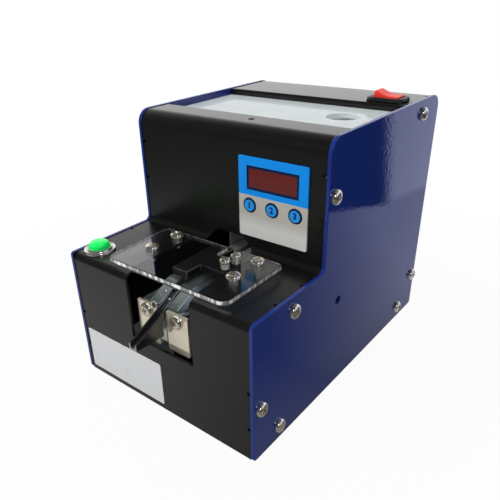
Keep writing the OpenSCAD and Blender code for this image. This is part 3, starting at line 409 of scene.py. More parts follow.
def makeNavyPaint():
    material, tree, shader, place = newMaterial("navyPaint")
    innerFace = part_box("right_side_plate")[0].x
    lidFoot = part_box("lid")[0].z
    at = axes(tree, place)
    between = calc(tree, "COMPARE", at["X"], 0.0, innerFace + navyLook["innerMargin"])
    # painted shade: inner faces below the lid take the near-black colour
    inner = calc(tree, "MULTIPLY", between, calc(tree, "LESS_THAN", at["Z"], lidFoot))
    layCoat(tree, shader, place, mixed(tree, inner, navyLook["colour"], navyLook["inner"]), navyLook)
    return material


# The black coat looks smoother where it is seen at a low angle

def makeBlackCoat():
    material, tree, shader, place = newMaterial("blackCoat")
    layCoat(tree, shader, place, blackLook["colour"], blackLook)
    facing = tree.nodes.new("ShaderNodeLayerWeight").outputs["Facing"]
    grained = shader.inputs["Roughness"].links[0].from_socket
    polish = ranged(tree, facing, *blackLook["lowAngle"], 1.0, blackLook["polish"])
    tree.links.new(calc(tree, "MULTIPLY", grained, polish), shader.inputs["Roughness"])
    return material


navyPaint = makeNavyPaint()
blackCoat = makeBlackCoat()

# Metals: a look gives what differs from the base; past a span of their length the rails turn from a dark
# colour to a pale one, a painted reflection: dark where they mirror the dark upper cover, pale further back

metalBase = {"stretch": (1, 1, 1), "rub": 0.2, "bump": 0.05, "depth": 0.02 * mm, "metal": 1.0}


def metalFinish(name, look):
    look = {**metalBase, **look}
    material, tree, shader, place = newMaterial(name)
    field = look["colour"]
    # painted reflection: the colour turns from the dark one to the pale one across the span
    if "polished" in look:
        inward = ranged(tree, axes(tree, place)["Y"], *look["span"])
        field = mixed(tree, inward, field, look["polished"])
    grain = placeGrain(tree, brushedGrain, stretched(tree, place, look["stretch"]), field, look)
    layGrain(tree, shader, grain, grain["Height"], look)
    shader.inputs["Metallic"].default_value = look["metal"]
    return material


zincSteel = metalFinish("zincSteel", {
    "colour": (0.72, 0.68, 0.59), "scale": 900.0, "spread": 0.35, "roughness": 0.22, "metal": 0.8})
screwSteel = metalFinish("screwSteel", {
    "colour": (0.9, 0.84, 0.7), "scale": 900.0, "spread": 0.2, "roughness": 0.13, "rub": 0.1, "bump": 0.03,
    "metal": 0.92})
zincSheet = metalFinish("zincSheet", {
    "colour": (0.85, 0.87, 0.88), "stretch": (1, 1, 0.08), "scale": 700.0, "spread": 0.15,
    "roughness": 0.32, "metal": 0.15})
nickelSteel = metalFinish("nickelSteel", {
    "colour": (0.89, 0.81, 0.65), "stretch": (1, 1, 0.1), "scale": 500.0, "spread": 0.12, "roughness": 0.1,
    "rub": 0.1, "bump": 0.03, "metal": 0.65})
# The dark rail colour and the pale one further back are painted reflection
railSteel = metalFinish("railSteel", {
    "colour": (0.075, 0.092, 0.09), "polished": (0.42, 0.47, 0.46), "span": (-78 * mm, -60 * mm),
    "stretch": (1, 0.05, 1), "scale": 800.0, "spread": 1.2, "roughness": 0.24, "rub": 0.3,
    "bump": 0.08, "depth": 0.03 * mm, "metal": 0.5})
# Rounded rail edges: a paler colour, a painted highlight along the edges
railEdgeHighlight = metalFinish("railEdgeHighlight", {
    "colour": (0.3, 0.33, 0.32), "stretch": (1, 0.07, 1), "scale": 800.0, "spread": 0.8,
    "roughness": 0.22, "metal": 0.85})
motorSteel = metalFinish("motorSteel", {
    "colour": (0.42, 0.43, 0.43), "stretch": (0.1, 1, 1), "scale": 600.0, "spread": 0.3, "roughness": 0.34})
springSteel = metalFinish("springSteel", {
    "colour": (0.12, 0.16, 0.2), "stretch": (1, 1, 0.05), "scale": 800.0, "spread": 0.4, "roughness": 0.3})
softIron = metalFinish("softIron", {
    "colour": (0.12, 0.12, 0.12), "scale": 500.0, "spread": 0.6, "roughness": 0.5, "bump": 0.2,
    "depth": 0.05 * mm})
bearingBronze = metalFinish("bearingBronze", {
    "colour": (0.45, 0.3, 0.1), "scale": 700.0, "spread": 0.4, "roughness": 0.35, "bump": 0.1,
    "depth": 0.03 * mm})
bezelChrome = metalFinish("bezelChrome", {
    "colour": (0.86, 0.81, 0.75), "stretch": (1, 1, 0.2), "scale": 700.0, "spread": 0.15,
    "roughness": 0.08, "rub": 0.06, "bump": 0.02, "metal": 0.9})

# Plastics and rubber

blackPlastic = coatedFinish("blackPlastic", {
    "colour": (0.011, 0.011, 0.0115), "scale": 1500.0, "spread": 0.3, "roughness": 0.38, "rub": 0.15,
    "bump": 0.12})
footRubber = coatedFinish("footRubber", {
    "colour": (0.012, 0.012, 0.012), "scale": 1200.0, "spread": 0.4, "roughness": 0.65, "rub": 0.15,
    "bump": 0.2, "depth": 0.05 * mm})
# The cap's faint emission is a painted glow that keeps the green evenly bright
greenPlastic = coatedFinish("greenPlastic", {
    "colour": (0.004, 0.85, 0.13), "scale": 300.0, "spread": 0.12, "roughness": 0.2, "rub": 0.08,
    "bump": 0.03, "sockets": {
        "Coat Weight": 0.3, "Coat Roughness": 0.08, "Emission Color": (0.004, 0.85, 0.13),
        "Emission Strength": 0.12}})
redPlastic = coatedFinish("redPlastic", {
    "colour": (0.88, 0.045, 0.024), "scale": 500.0, "spread": 0.1, "roughness": 0.4, "bump": 0.04})
markInk = coatedFinish("markInk", {
    "colour": (0.004, 0.018, 0.1), "scale": 2500.0, "spread": 0.4, "roughness": 0.4,
    "depth": 0.01 * mm})
bristleFibre = coatedFinish("bristleFibre", {
    "colour": (0.66, 0.56, 0.34), "scale": 2600.0, "spread": 0.5, "roughness": 0.55, "rub": 0.2,
    "bump": 0.1, "depth": 0.02 * mm})
labelFilm = coatedFinish("labelFilm", {
    "colour": (0.68, 0.69, 0.7), "scale": 1600.0, "spread": 0.06, "roughness": 0.3, "rub": 0.12,
    "depth": 0.01 * mm})

# Lid: some of the light that falls on it goes through it into the hopper

milkyLook = {"colour": (0.86, 0.9, 0.91), "scale": 60.0, "spread": 0.05, "roughness": 0.05, "rub": 0.04,
             "bump": 0.02, "depth": 0.05 * mm, "throughColour": (0.85, 0.89, 0.9), "throughShare": 0.45}


def makeMilkyAcrylic():
    material = coatedFinish("milkyAcrylic", milkyLook)
    tree = material.node_tree
    through = addNode(tree, "BsdfTranslucent", {"Color": milkyLook["throughColour"]})
    both = mixedShaders(tree, milkyLook["throughShare"], tree.nodes["Principled BSDF"], through)
    tree.links.new(both.outputs[0], tree.nodes["Material Output"].inputs["Surface"])
    return material


milkyAcrylic = makeMilkyAcrylic()

# Clear plate, and a pale saw-marked band along its cut edges; the saw marks are real, while the opaque
# band's brightness, set per edge and dimmer on the rear one, is painted light standing in for light the
# plate carries to its edges, and the rest of each edge is painted dark

clearLook = {"colour": (0.93, 0.95, 0.93), "index": 1.49, "smear": (0.0, 0.02), "smearNoise": (30.0, 4.0),
             "smearSpan": (0.4, 0.8)}
sawnLook = {"saw": 520.0, "stretch": (1, 1, 0.25), "sawSpan": (0.42, 0.6), "middle": 0.64, "band": 0.33,
            "pale": (0.2, 0.9), "facing": 0.5, "sideLightShare": 1.05, "rearLightShare": 0.8, "clear": 0.03,
            "roughness": 0.3}


def makeClearAcrylic():
    material, tree, shader, place = newMaterial("clearAcrylic")
    cloud = noise(tree, place, *clearLook["smearNoise"])
    smear = ranged(tree, cloud, *clearLook["smearSpan"], *clearLook["smear"])
    setInputs(tree, shader, {"Base Color": clearLook["colour"], "Roughness": smear,
                             "Transmission Weight": 1.0, "IOR": clearLook["index"]})
    return material


def makeSawnEdge():
    material, tree, shader, place = newMaterial("sawnEdge")
    at = axes(tree, place)
    low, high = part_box("guard_plate")
    thick = high.z - low.z
    saw = noise(tree, stretched(tree, place, sawnLook["stretch"]), sawnLook["saw"])
    inside = calc(tree, "COMPARE", at["Z"], low.z + sawnLook["middle"] * thick, sawnLook["band"] * thick)
    marks = ranged(tree, saw, *sawnLook["sawSpan"], *sawnLook["pale"])
    pale = calc(tree, "MULTIPLY", inside, marks)
    normal = axes(tree, tree.nodes.new("ShaderNodeNewGeometry").outputs["Normal"])
    side, across = [calc(tree, "GREATER_THAN", calc(tree, "ABSOLUTE", normal[axis]), sawnLook["facing"])
                    for axis in ("X", "Y")]
    rear = calc(tree, "MULTIPLY", across, calc(tree, "GREATER_THAN", at["Y"], (low.y + high.y) / 2))
    # painted light: the side and rear edges get different levels of the pale band
    share = calc(tree, "MULTIPLY_ADD", side, sawnLook["sideLightShare"] - 1.0, 1.0)
    share = calc(tree, "MULTIPLY_ADD", rear, sawnLook["rearLightShare"] - 1.0, share)
    level = calc(tree, "MULTIPLY_ADD", pale, share, sawnLook["clear"])
    setInputs(tree, shader, {"Base Color": grey(tree, level), "Roughness": sawnLook["roughness"]})
    return material


clearAcrylic = makeClearAcrylic()
sawnEdge = makeSawnEdge()

# Printed film of the display: a blue field over a silver one, with a dark line round the window

panelLook = {"blue": (0.0, 0.27, 0.84), "silver": (0.66, 0.655, 0.635), "silverHigh": (0.47, 0.455, 0.41),
             "line": (0.003, 0.012, 0.06), "split": 0.535, "fade": (0.15, 0.3), "lineWidth": 0.55 * mm,
             "scale": 1400.0, "spread": 0.1, "roughness": 0.34, "rub": 0.15, "bump": 0.06,
             "depth": 0.01 * mm, "sockets": {"Specular IOR Level": 0.25}}
windowLook = {"red": (0.125, 0.013, 0.011), "rimWidth": 0.9 * mm, "scale": 90.0, "spread": 0.2,
              "roughness": 0.12, "rub": 0.06, "bump": 0.02}


def insideBox(tree, place, low, high, grow):
    at = axes(tree, place)
    acrossX = calc(tree, "COMPARE", at["X"], (low.x + high.x) / 2, (high.x - low.x) / 2 + grow)
    acrossZ = calc(tree, "COMPARE", at["Z"], (low.z + high.z) / 2, (high.z - low.z) / 2 + grow)
    return calc(tree, "MULTIPLY", acrossX, acrossZ)


def makePanelFilm():
    material, tree, shader, place = newMaterial("panelFilm")
    low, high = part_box("display_panel")
    tall = high.z - low.z
    z = axes(tree, place)["Z"]
    upper = calc(tree, "GREATER_THAN", z, low.z + tall * panelLook["split"])
    rise = ranged(tree, z, *(low.z + tall * share for share in panelLook["fade"]))
    silver = mixed(tree, rise, panelLook["silver"], panelLook["silverHigh"])
    field = mixed(tree, upper, silver, panelLook["blue"])
    line = insideBox(tree, place, *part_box("display_window"), panelLook["lineWidth"])
    layCoat(tree, shader, place, mixed(tree, line, field, panelLook["line"]), panelLook)
    return material


def makeRedFilter():
    material, tree, shader, place = newMaterial("redFilter")
    clear = insideBox(tree, place, *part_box("display_window"), -windowLook["rimWidth"])
    layCoat(tree, shader, place, mixed(tree, clear, panelLook["line"], windowLook["red"]), windowLook)
    return material


panelFilm = makePanelFilm()
redFilter = makeRedFilter()

# Keys: a blue face with a dark rim line

keyLook = {"face": (0.02, 0.3, 0.8), "rim": (0.003, 0.016, 0.08), "rimWidth": 0.7 * mm, "scale": 1400.0,
           "spread": 0.1, "roughness": 0.3, "rub": 0.12, "depth": 0.01 * mm,
           "sockets": {"Specular IOR Level": 0.25}}


def makeKeyPlastic(nodeName):
    material, tree, shader, place = newMaterial(nodeName + "Plastic")
    low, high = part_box(nodeName)
    middle = ((low.x + high.x) / 2, 0, (low.z + high.z) / 2)
    radius = distanceFrom(tree, stretched(tree, place, (1, 0, 1)), middle)
    rim = calc(tree, "GREATER_THAN", radius, (high.x - low.x) / 2 - keyLook["rimWidth"])
    layCoat(tree, shader, place, mixed(tree, rim, keyLook["face"], keyLook["rim"]), keyLook)
    return material


# Hold-down bar: pale edges along its front and its right side, a painted highlight on its rounded edges

barLook = {"colour": (0.009, 0.009, 0.0092), "paintedHighlight": (0.2, 0.2, 0.19), "shift": 0.6 * mm, "scale": 1500.0,
           "spread": 0.4, "roughness": 0.36, "rub": 0.15, "bump": 0.12}


def makeBarEdgeHighlight():
    material, tree, shader, place = newMaterial("barEdgeHighlight")
    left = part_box("hold_down")[0].x
    chuteLow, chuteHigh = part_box("chute")
    right = chuteLow.x + chuteHigh.x - left
    x = axes(tree, place)["X"]
    # painted highlight: the pale colour goes on the edges within this span
    shown = calc(tree, "COMPARE", x, (left + right) / 2 + barLook["shift"], (right - left) / 2)
    layCoat(tree, shader, place, mixed(tree, shown, barLook["colour"], barLook["paintedHighlight"]), barLook)
    return material


barEdgeHighlight = makeBarEdgeHighlight()
barPlastic = coatedFinish("barPlastic", barLook)

# Chute: black coat, bare steel on its flange and along the cut edges of its tip

chuteLook = {"colour": (0.008, 0.0076, 0.0062), "scale": 600.0, "spread": 0.3, "roughness": 0.2,
             "rub": 0.12, "bump": 0.08, "depth": 0.04 * mm, "sockets": {"IOR": 2.2},
             "flangeMargin": 0.2 * mm, "flangeDrop": 3 * mm, "tip": 0.5 * mm}
bareLook = {"colour": (0.6, 0.6, 0.57), "stretch": (1, 1, 0.1), "scale": 700.0, "spread": 0.3,
            "roughness": 0.3, "rub": 0.2}


def makeChuteCoat():
    material, tree, shader, place = newMaterial("chuteCoat")
    bracketLow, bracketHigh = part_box("rail_brackets")
    at = axes(tree, place)
    back = calc(tree, "GREATER_THAN", at["Y"], bracketLow.y - chuteLook["flangeMargin"])
    under = calc(tree, "LESS_THAN", at["Z"], bracketHigh.z - chuteLook["flangeDrop"])
    tip = calc(tree, "LESS_THAN", at["Y"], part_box("chute")[0].y + chuteLook["tip"])
    bare = calc(tree, "MAXIMUM", calc(tree, "MULTIPLY", back, under), tip)
    coat = placeGrain(tree, coatGrain, place, chuteLook["colour"], chuteLook)
    lined = stretched(tree, place, bareLook["stretch"])
    steel = placeGrain(tree, brushedGrain, lined, bareLook["colour"], bareLook)
    both = {title: mixed(tree, bare, coat[title], steel[title]) for title in ("Colour", "Roughness")}
    layGrain(tree, shader, both, coat["Height"], chuteLook)
    tree.links.new(bare, shader.inputs["Metallic"])
    return material


chuteCoat = makeChuteCoat()

# Circuit boards: dark green mask over paler tracks

boardLook = {"mask": (0.01, 0.085, 0.032), "track": (0.02, 0.16, 0.06), "cells": 160.0,
             "trackEdge": (0.04, 0.07), "scale": 900.0, "spread": 0.15, "roughness": 0.28, "rub": 0.1,
             "bump": 0.3, "depth": 0.03 * mm}


def makeBoardGreen():
    material, tree, shader, place = newMaterial("boardGreen")
    cells = addNode(tree, "TexVoronoi", {"Vector": place, "Scale": boardLook["cells"]},
                    distance="MANHATTAN", feature="DISTANCE_TO_EDGE")
    track = ranged(tree, cells.outputs["Distance"], *boardLook["trackEdge"], 1.0, 0.0)
    field = mixed(tree, track, boardLook["mask"], boardLook["track"])
    layGrain(tree, shader, placeGrain(tree, coatGrain, place, field, boardLook), track, boardLook)
    return material


boardGreen = makeBoardGreen()

# Copper winding: fine turns along the coil

copperLook = {"colour": (0.55, 0.2, 0.07), "turns": 320.0, "waver": 0.6, "scale": 600.0, "spread": 0.4,
              "roughness": 0.3, "rub": 0.2, "bump": 0.6, "depth": 0.3 * mm, "sockets": {"Metallic": 1.0}}


def makeCopperWire():
    material, tree, shader, place = newMaterial("copperWire")
    turns = addNode(tree, "TexWave", {"Vector": place, "Scale": copperLook["turns"],
                                      "Distortion": copperLook["waver"]}, bands_direction="Y")
    grain = placeGrain(tree, brushedGrain, place, copperLook["colour"], copperLook)
    layGrain(tree, shader, grain, turns.outputs["Fac"], copperLook)
    return material


copperWire = makeCopperWire()
print("finishes ready")

# Housing: plates and covers

housingEdges = {"plate": 0.3 * mm, "cover": 0.2 * mm, "label": 0.08 * mm, "lid": 0.3 * mm, "foot": 0.4 * mm}
softCopy("left_side_plate", "leftSidePlate", housingEdges["plate"], navyPaint, segments=3)
softCopy("right_side_plate", "rightSidePlate", housingEdges["plate"], navyPaint, segments=3)
softCopy("front_cover", "frontCover", housingEdges["cover"], blackCoat)
softCopy("rear_cover", "rearCover", housingEdges["cover"], blackCoat)
softCopy("front_label", "frontLabel", housingEdges["label"], labelFilm)
softCopy("lid", "hopperLid", housingEdges["lid"], milkyAcrylic, segments=3)
softCopy("rubber_feet", "rubberFeet", housingEdges["foot"], footRubber, segments=3)
print("housing done")

# Screws with a domed head and a cross recess; the top of the head is at the origin

screwShape = {
    "dome": [(1.0, -1.0), (1.0, -0.74), (0.97, -0.52), (0.9, -0.32), (0.77, -0.16), (0.58, -0.06),
             (0.34, -0.01), (0.08, 0.0)],
    "slotWidth": 0.17, "slotLength": 0.62, "slotDepth": 0.62, "slotTaper": (0.55, 0.8),
    "pitch": 0.5 * mm, "root": 0.84, "tip": 0.8, "chamfer": 0.4 * mm, "sides": 40, "spin": (17, 53),
}
housingScrew = {"headH": 2.4 * mm, "shankD": 4 * mm, "threaded": False}
smallScrew = {"headH": 1.9 * mm, "shankD": 3 * mm, "threaded": False}
adjustingScrew = {**smallScrew, "threaded": True}


def crossCutter(headD, headH):
    arms = []
    size = (screwShape["slotLength"] * headD, screwShape["slotWidth"] * headD,
            2 * screwShape["slotDepth"] * headH)
    for turn in (0, 90):
        arm = addPiece(bpy.ops.mesh.primitive_cube_add, size=1)
        editAll(arm)
        bpy.ops.transform.resize(value=size)
        bpy.ops.mesh.select_all(action="DESELECT")
        editDone()
        for vertex in arm.data.vertices:
            vertex.select = vertex.co.z < 0
        bpy.ops.object.mode_set(mode="EDIT")
        bpy.ops.mesh.select_mode(type="VERT")
        bpy.ops.transform.resize(value=(*screwShape["slotTaper"], 1), center_override=(0, 0, 0))
        editDone()
        intoMesh(arm, Matrix.Rotation(math.radians(turn), 4, "Z"))
        arms.append(arm)
    return arms


def panScrew(name, headD, length, sizes):
    headH = sizes["headH"]
    shankR = sizes["shankD"] / 2
    foot = -headH - length
    profile = [(shankR * screwShape["tip"], foot)]
    if sizes["threaded"]:
        pitch = screwShape["pitch"]
        for i in range(int(length / pitch) - 1):
            z = foot + (i + 0.5) * pitch
            profile += [(shankR * screwShape["root"], z), (shankR, z + pitch / 2)]
    else:
        profile.append((shankR, foot + screwShape["chamfer"]))
    profile.append((shankR, -headH))
    profile += [(r * headD / 2, z * headH) for r, z in screwShape["dome"]]
    screw = turnedPiece(name, profile, screwShape["sides"])
    arms = crossCutter(headD, headH)
    for arm in arms:
        cut = screw.modifiers.new("recess", "BOOLEAN")
        cut.operation = "DIFFERENCE"
        cut.object = arm
        cut.solver = "EXACT"
    applyAll(screw)
    for arm in arms:
        dropPiece(arm)
    smoothBelow(screw, turnedShape["smoothAngle"])
    return screw


def screwSet(nodeName, pieceName, axis, sizes, material):
    way = Vector(axis)
    side = Vector((0, 0, 1)) if abs(way.z) < 0.5 else Vector((1, 0, 0))
    boxes = islandBoxes(nodeName)
    low, high = boxes[0]
    headD = abs((high - low).dot(side))
    length = abs((high - low).dot(way)) - sizes["headH"]
    model = panScrew(pieceName + "Model", headD, length, sizes)
    firstTurn, nextTurn = screwShape["spin"]
    copies = []
    for i, (low, high) in enumerate(boxes):
        top = (low + high) / 2 + way * abs((high - low).dot(way)) / 2
        spin = Matrix.Rotation(math.radians(firstTurn + nextTurn * i), 4, "Z")
        copies.append(copyPiece(model, Matrix.Translation(top) @ turnTo(axis) @ spin))
    dropPiece(model)
    standFor(dress(joinPieces(copies, pieceName), material), nodeName)


screwSet("left_side_screws", "leftSideScrews", (-1, 0, 0), housingScrew, screwSteel)
screwSet("right_side_screws", "rightSideScrews", (1, 0, 0), housingScrew, screwSteel)
screwSet("bracket_screws", "bracketScrews", (0, -1, 0), housingScrew, screwSteel)
screwSet("foot_screws", "footScrews", (0, 0, -1), smallScrew, zincSteel)
screwSet("guard_screws", "guardScrews", (0, 0, 1), smallScrew, screwSteel)
screwSet("adjusting_screws", "adjustingScrews", (0, 0, 1), adjustingScrew, screwSteel)
print("screws done")

# Display: panel, window and keys with plain numerals

displayShape = {"panelEdge": 0.12 * mm, "windowEdge": 0.15 * mm, "keyEdge": 0.2 * mm,
                "markSize": 4.4 * mm, "markDepth": 0.05 * mm, "markBold": 0.2 * mm}


def keyMark(nodeName, number):
    text = addPiece(bpy.ops.object.text_add).data
    text.body = number
    text.size = displayShape["markSize"]
    text.align_x = "CENTER"
    text.align_y = "CENTER"
    text.extrude = displayShape["markDepth"] / 2
    text.offset = displayShape["markBold"]
    bpy.ops.object.convert(target="MESH")
    mark = namePiece(bpy.context.active_object, "keyMark" + number)
    low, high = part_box(nodeName)
    middle = Vector(((low.x + high.x) / 2, low.y, (low.z + high.z) / 2))
    intoMesh(mark, Matrix.Translation(middle) @ Matrix.Rotation(math.radians(90), 4, "X"))
    dress(mark, markInk)
    rideLike(mark, nodeName)


softCopy("display_panel", "displayPanel", displayShape["panelEdge"], panelFilm)
softCopy("display_window", "displayWindow", displayShape["windowEdge"], redFilter)
for number in ("1", "2", "3"):
    keyNode = "key_" + number
    softCopy(keyNode, "key" + number, displayShape["keyEdge"], makeKeyPlastic(keyNode), segments=3)
    keyMark(keyNode, number)
print("display done")

# Push button: a turned bezel with a groove round its inner ring, and a flat-topped cap

buttonShape = {
    "sides": 96, "barrelR": 7 * mm, "footChamfer": 0.5 * mm, "threadDepth": 0.3 * mm, "threadTurns": 22,
    "threadFrom": 1 * mm, "threadFree": 3 * mm, "neck": 1 * mm, "flange": 2.2 * mm, "boreGap": 0.3 * mm,
    "well": 2.6 * mm, "wellCentre": 0.4 * mm, "capChamfer": 0.4 * mm, "nutEdge": 0.2 * mm,
    # in from the flange, up from its seat
    "rim": [(0.15 * mm, 0), (0, 0.15 * mm), (0, 0.75 * mm), (0.12 * mm, 1.15 * mm), (0.4 * mm, 1.4 * mm),
            (0.75 * mm, 1.45 * mm)],
    # in from the flange, down from the top
    "groove": [(1.05 * mm, 0.95 * mm), (1.35 * mm, 1.05 * mm), (1.7 * mm, 0.85 * mm)],
    # out from the bore, down from the top
    "ring": [(0.7 * mm, 0.22 * mm), (0.45 * mm, 0.03 * mm), (0.25 * mm, 0), (0.05 * mm, 0.1 * mm),
             (0, 0.3 * mm)],
    # shares of the radius and of the height
    "cap": [(1.0, 0.0), (0.99, 0.24), (0.97, 0.42), (0.935, 0.57), (0.88, 0.7), (0.8, 0.81),
            (0.68, 0.89), (0.52, 0.95), (0.34, 0.98), (0.05, 1.0)],
}


def buttonBezel(low, high, bore, well):
    bezelR = (high.x - low.x) / 2
    barrelR = buttonShape["barrelR"]
    seat = high.z - buttonShape["flange"]
    chamfer = buttonShape["footChamfer"]
    wall = [(barrelR - chamfer, low.z), (barrelR, low.z + chamfer)]
    step = (seat - low.z - buttonShape["threadFree"]) / buttonShape["threadTurns"]
    for i in range(buttonShape["threadTurns"]):
        z = low.z + buttonShape["threadFrom"] + i * step
        wall += [(barrelR, z), (barrelR - buttonShape["threadDepth"], z + step / 2)]
    wall += [(barrelR, seat - buttonShape["neck"]), (barrelR, seat)]
    wall += [(bezelR - inset, seat + rise) for inset, rise in buttonShape["rim"]]
    wall += [(bezelR - inset, high.z - drop) for inset, drop in buttonShape["groove"]]
    wall += [(bore + out, high.z - drop) for out, drop in buttonShape["ring"]]
    wall += [(bore, well), (buttonShape["wellCentre"], well)]
    return turnedPiece("buttonBezel", wall, buttonShape["sides"])


def buttonCap(capLow, capHigh, capR, rim):
    chamfer = buttonShape["capChamfer"]
    dome = [(capR - chamfer, capLow.z), (capR, capLow.z + chamfer)]
    dome += [(capR * share, rim + (capHigh.z - rim) * rise) for share, rise in buttonShape["cap"]]
    return turnedPiece("buttonCap", dome, buttonShape["sides"])


def pushButton():
    low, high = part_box("button_body")
    capLow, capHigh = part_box("button_cap")
    capR = (capHigh.x - capLow.x) / 2
    centre = Matrix.Translation(((low.x + high.x) / 2, (low.y + high.y) / 2, 0))
    bezel = buttonBezel(low, high, capR + buttonShape["boreGap"], capLow.z - buttonShape["well"])
    intoMesh(bezel, centre)
    standFor(dress(bezel, bezelChrome), "button_body")
    cap = buttonCap(capLow, capHigh, capR, high.z)
    intoMesh(cap, centre)
    standFor(dress(cap, greenPlastic), "button_cap")


pushButton()
softCopy("button_nut", "buttonNut", buttonShape["nutEdge"], zincSteel)

# Rocker switch

rockerShape = {"frameEdge": 0.5 * mm, "capEdge": 0.45 * mm}
softCopy("rocker_frame", "rockerFrame", rockerShape["frameEdge"], blackPlastic)
softCopy("rocker_cap", "rockerCap", rockerShape["capEdge"], redPlastic, segments=3)
print("controls done")

# Guard plate, hold-down bar and the sprung screws between them

guardShape = {"plateEdge": 0.25 * mm, "barEdge": 0.3 * mm, "spacerEdge": 0.15 * mm, "cutSlope": 0.3,
              "wire": 0.7 * mm, "turns": 4, "steps": 28, "wireSides": 10, "smoothAngle": 60}
guardPlate = softCopy("guard_plate", "guardPlate", guardShape["plateEdge"], clearAcrylic, sawnEdge)
for face in guardPlate.data.polygons:
    face.material_index = 1 if abs(face.normal.z) < guardShape["cutSlope"] else 0
softCopy("guard_spacers", "guardSpacers", guardShape["spacerEdge"], zincSteel)
softCopy("hold_down", "holdDownBar", guardShape["barEdge"], barPlastic, barEdgeHighlight)


def coilSpring(low, high, name):
    wireR = guardShape["wire"] / 2
    coilR = (high.x - low.x) / 2 - wireR
    spring = addPiece(bpy.ops.mesh.primitive_circle_add, vertices=guardShape["wireSides"], radius=wireR,
                      location=(coilR, 0, 0), rotation=(math.radians(90), 0, 0))
    namePiece(spring, name)
    bpy.ops.object.transform_apply(location=True, rotation=True, scale=True)
    wind = spring.modifiers.new("wind", "SCREW")
    wind.axis = "Z"
    wind.angle = math.radians(360 * guardShape["turns"])
    wind.screw_offset = high.z - low.z - 2 * wireR
    wind.steps = wind.render_steps = guardShape["steps"] * guardShape["turns"]
    wind.use_merge_vertices = False
    applyAll(spring)
    editAll(spring)
    bpy.ops.mesh.fill_holes(sides=0)
    bpy.ops.mesh.normals_make_consistent(inside=False)
    editDone()
    smoothBelow(spring, guardShape["smoothAngle"])
    intoMesh(spring, Matrix.Translation(((low.x + high.x) / 2, (low.y + high.y) / 2, low.z + wireR)))
    return spring


springs = []
for i, (low, high) in enumerate(islandBoxes("adjusting_springs")):
    springs.append(coilSpring(low, high, "spring" + str(i)))
standFor(dress(joinPieces(springs, "adjustingSprings"), zincSteel), "adjusting_springs")
print("guard done")

# Rails, brackets and chute

railShape = {"railEdge": 0.3 * mm, "bracketEdge": 0.2 * mm, "chuteEdge": 0.15 * mm, "smoothAngle": 50,
             "eyeR": 1.75 * mm, "eyeWire": 0.45 * mm, "eyeSides": 48, "wireSides": 14,
             "eyePlace": (-2.2 * mm, 65.5 * mm), "pinR": 0.95 * mm, "pinSides": 24,
             "railPin": (-2.1 * mm, -72.5 * mm), "chutePin": (1.7 * mm, -74.3 * mm)}
railLeft = softCopy("rail_left", "railLeft", railShape["railEdge"], railSteel, railEdgeHighlight)
softCopy("rail_right", "railRight", railShape["railEdge"], railSteel, railEdgeHighlight)
softCopy("rail_brackets", "railBrackets", railShape["bracketEdge"], nickelSteel)
chute = softCopy("chute", "dischargeChute", railShape["chuteEdge"], chuteCoat)
softCopy("rail_carrier", "railCarrier", railShape["railEdge"], railSteel)


# Small fittings that the CAD leaves out: they move with the rail

def addFitting(piece, name, matrix, material, nodeName):
    namePiece(piece, name)
    intoMesh(piece, matrix)
    dress(piece, material)
    smoothBelow(piece, railShape["smoothAngle"])
    rideLike(piece, nodeName)


def railEye():
    x, z = railShape["eyePlace"]
    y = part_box("rail_brackets")[0].y
    place = Matrix.Translation((x, y, z)) @ Matrix.Rotation(math.radians(90), 4, "X")
    radius, wire, sides = railShape["eyeR"], railShape["eyeWire"], railShape["eyeSides"]
    ring = addPiece(bpy.ops.mesh.primitive_torus_add, major_radius=radius, minor_radius=wire,
                    major_segments=sides, minor_segments=railShape["wireSides"])
    addFitting(ring, "railEye", place, bezelChrome, "rail_brackets")
    # A black disc inside the ring is painted shade for the dark hole the ring surrounds
    holeShade = addPiece(bpy.ops.mesh.primitive_cylinder_add, vertices=sides, radius=radius, depth=wire)
    addFitting(holeShade, "railEyeHoleShade", place, blackPlastic, "rail_brackets")


def pinHead(piece, name, x, y):
    seat = piece.ray_cast(Vector((x, y, cadHigh.z)), Vector((0, 0, -1)))[1]
    sides = railShape["pinSides"]
    head = addPiece(bpy.ops.mesh.primitive_uv_sphere_add, segments=sides, ring_count=sides // 2,
                    radius=railShape["pinR"])
    addFitting(head, name, Matrix.Translation(seat), bezelChrome, "chute")


railEye()
pinHead(railLeft, "railPin", *railShape["railPin"])
pinHead(chute, "chutePin", *railShape["chutePin"])
print("rail done")

# Brush: a hub with tufts of thin bristles, set in a spiral within each tuft

brushShape = {"hubR": 5 * mm, "bore": 2.6 * mm, "chamfer": 0.4 * mm, "hubSides": 48, "rows": 4,
              "tufts": 12, "perTuft": 9, "tuftR": 0.95 * mm, "spiral": 2.39996, "bristleR": 0.22 * mm,
              "bristleSides": 5, "taper": 0.6, "root": 0.6 * mm, "lean": 0.05, "short": 0.12 * mm,
              "tipGap": 0.1 * mm}


def brushHub(width):
    hubR, bore, chamfer = brushShape["hubR"], brushShape["bore"], brushShape["chamfer"]
    half = width / 2
    return turnedPiece("brushHub", [
        (bore, -half), (hubR - chamfer, -half), (hubR, chamfer - half), (hubR, half - chamfer),
        (hubR - chamfer, half), (bore, half)], brushShape["hubSides"])


def brushTuft(reach):
    hubR, root, bristleR = brushShape["hubR"], brushShape["root"], brushShape["bristleR"]
    bristles = []
    for i in range(brushShape["perTuft"]):
        turn = i * brushShape["spiral"]
        out = brushShape["tuftR"] * math.sqrt((i + 0.5) / brushShape["perTuft"])
        bristle = addPiece(bpy.ops.mesh.primitive_cone_add, vertices=brushShape["bristleSides"],
                           radius1=bristleR, radius2=brushShape["taper"] * bristleR,
                           depth=reach - hubR + root)
        leanY = Matrix.Rotation(brushShape["lean"] * math.cos(turn), 4, "Y")
        leanX = Matrix.Rotation(brushShape["lean"] * math.sin(turn), 4, "X")
        drop = brushShape["short"] * (i % 3) + brushShape["tipGap"]
        middle = (out * math.cos(turn), out * math.sin(turn), (reach + hubR - root) / 2 - drop)
        intoMesh(bristle, Matrix.Translation(middle) @ leanY @ leanX)
        bristles.append(bristle)
    return joinPieces(bristles, "brushTuft")


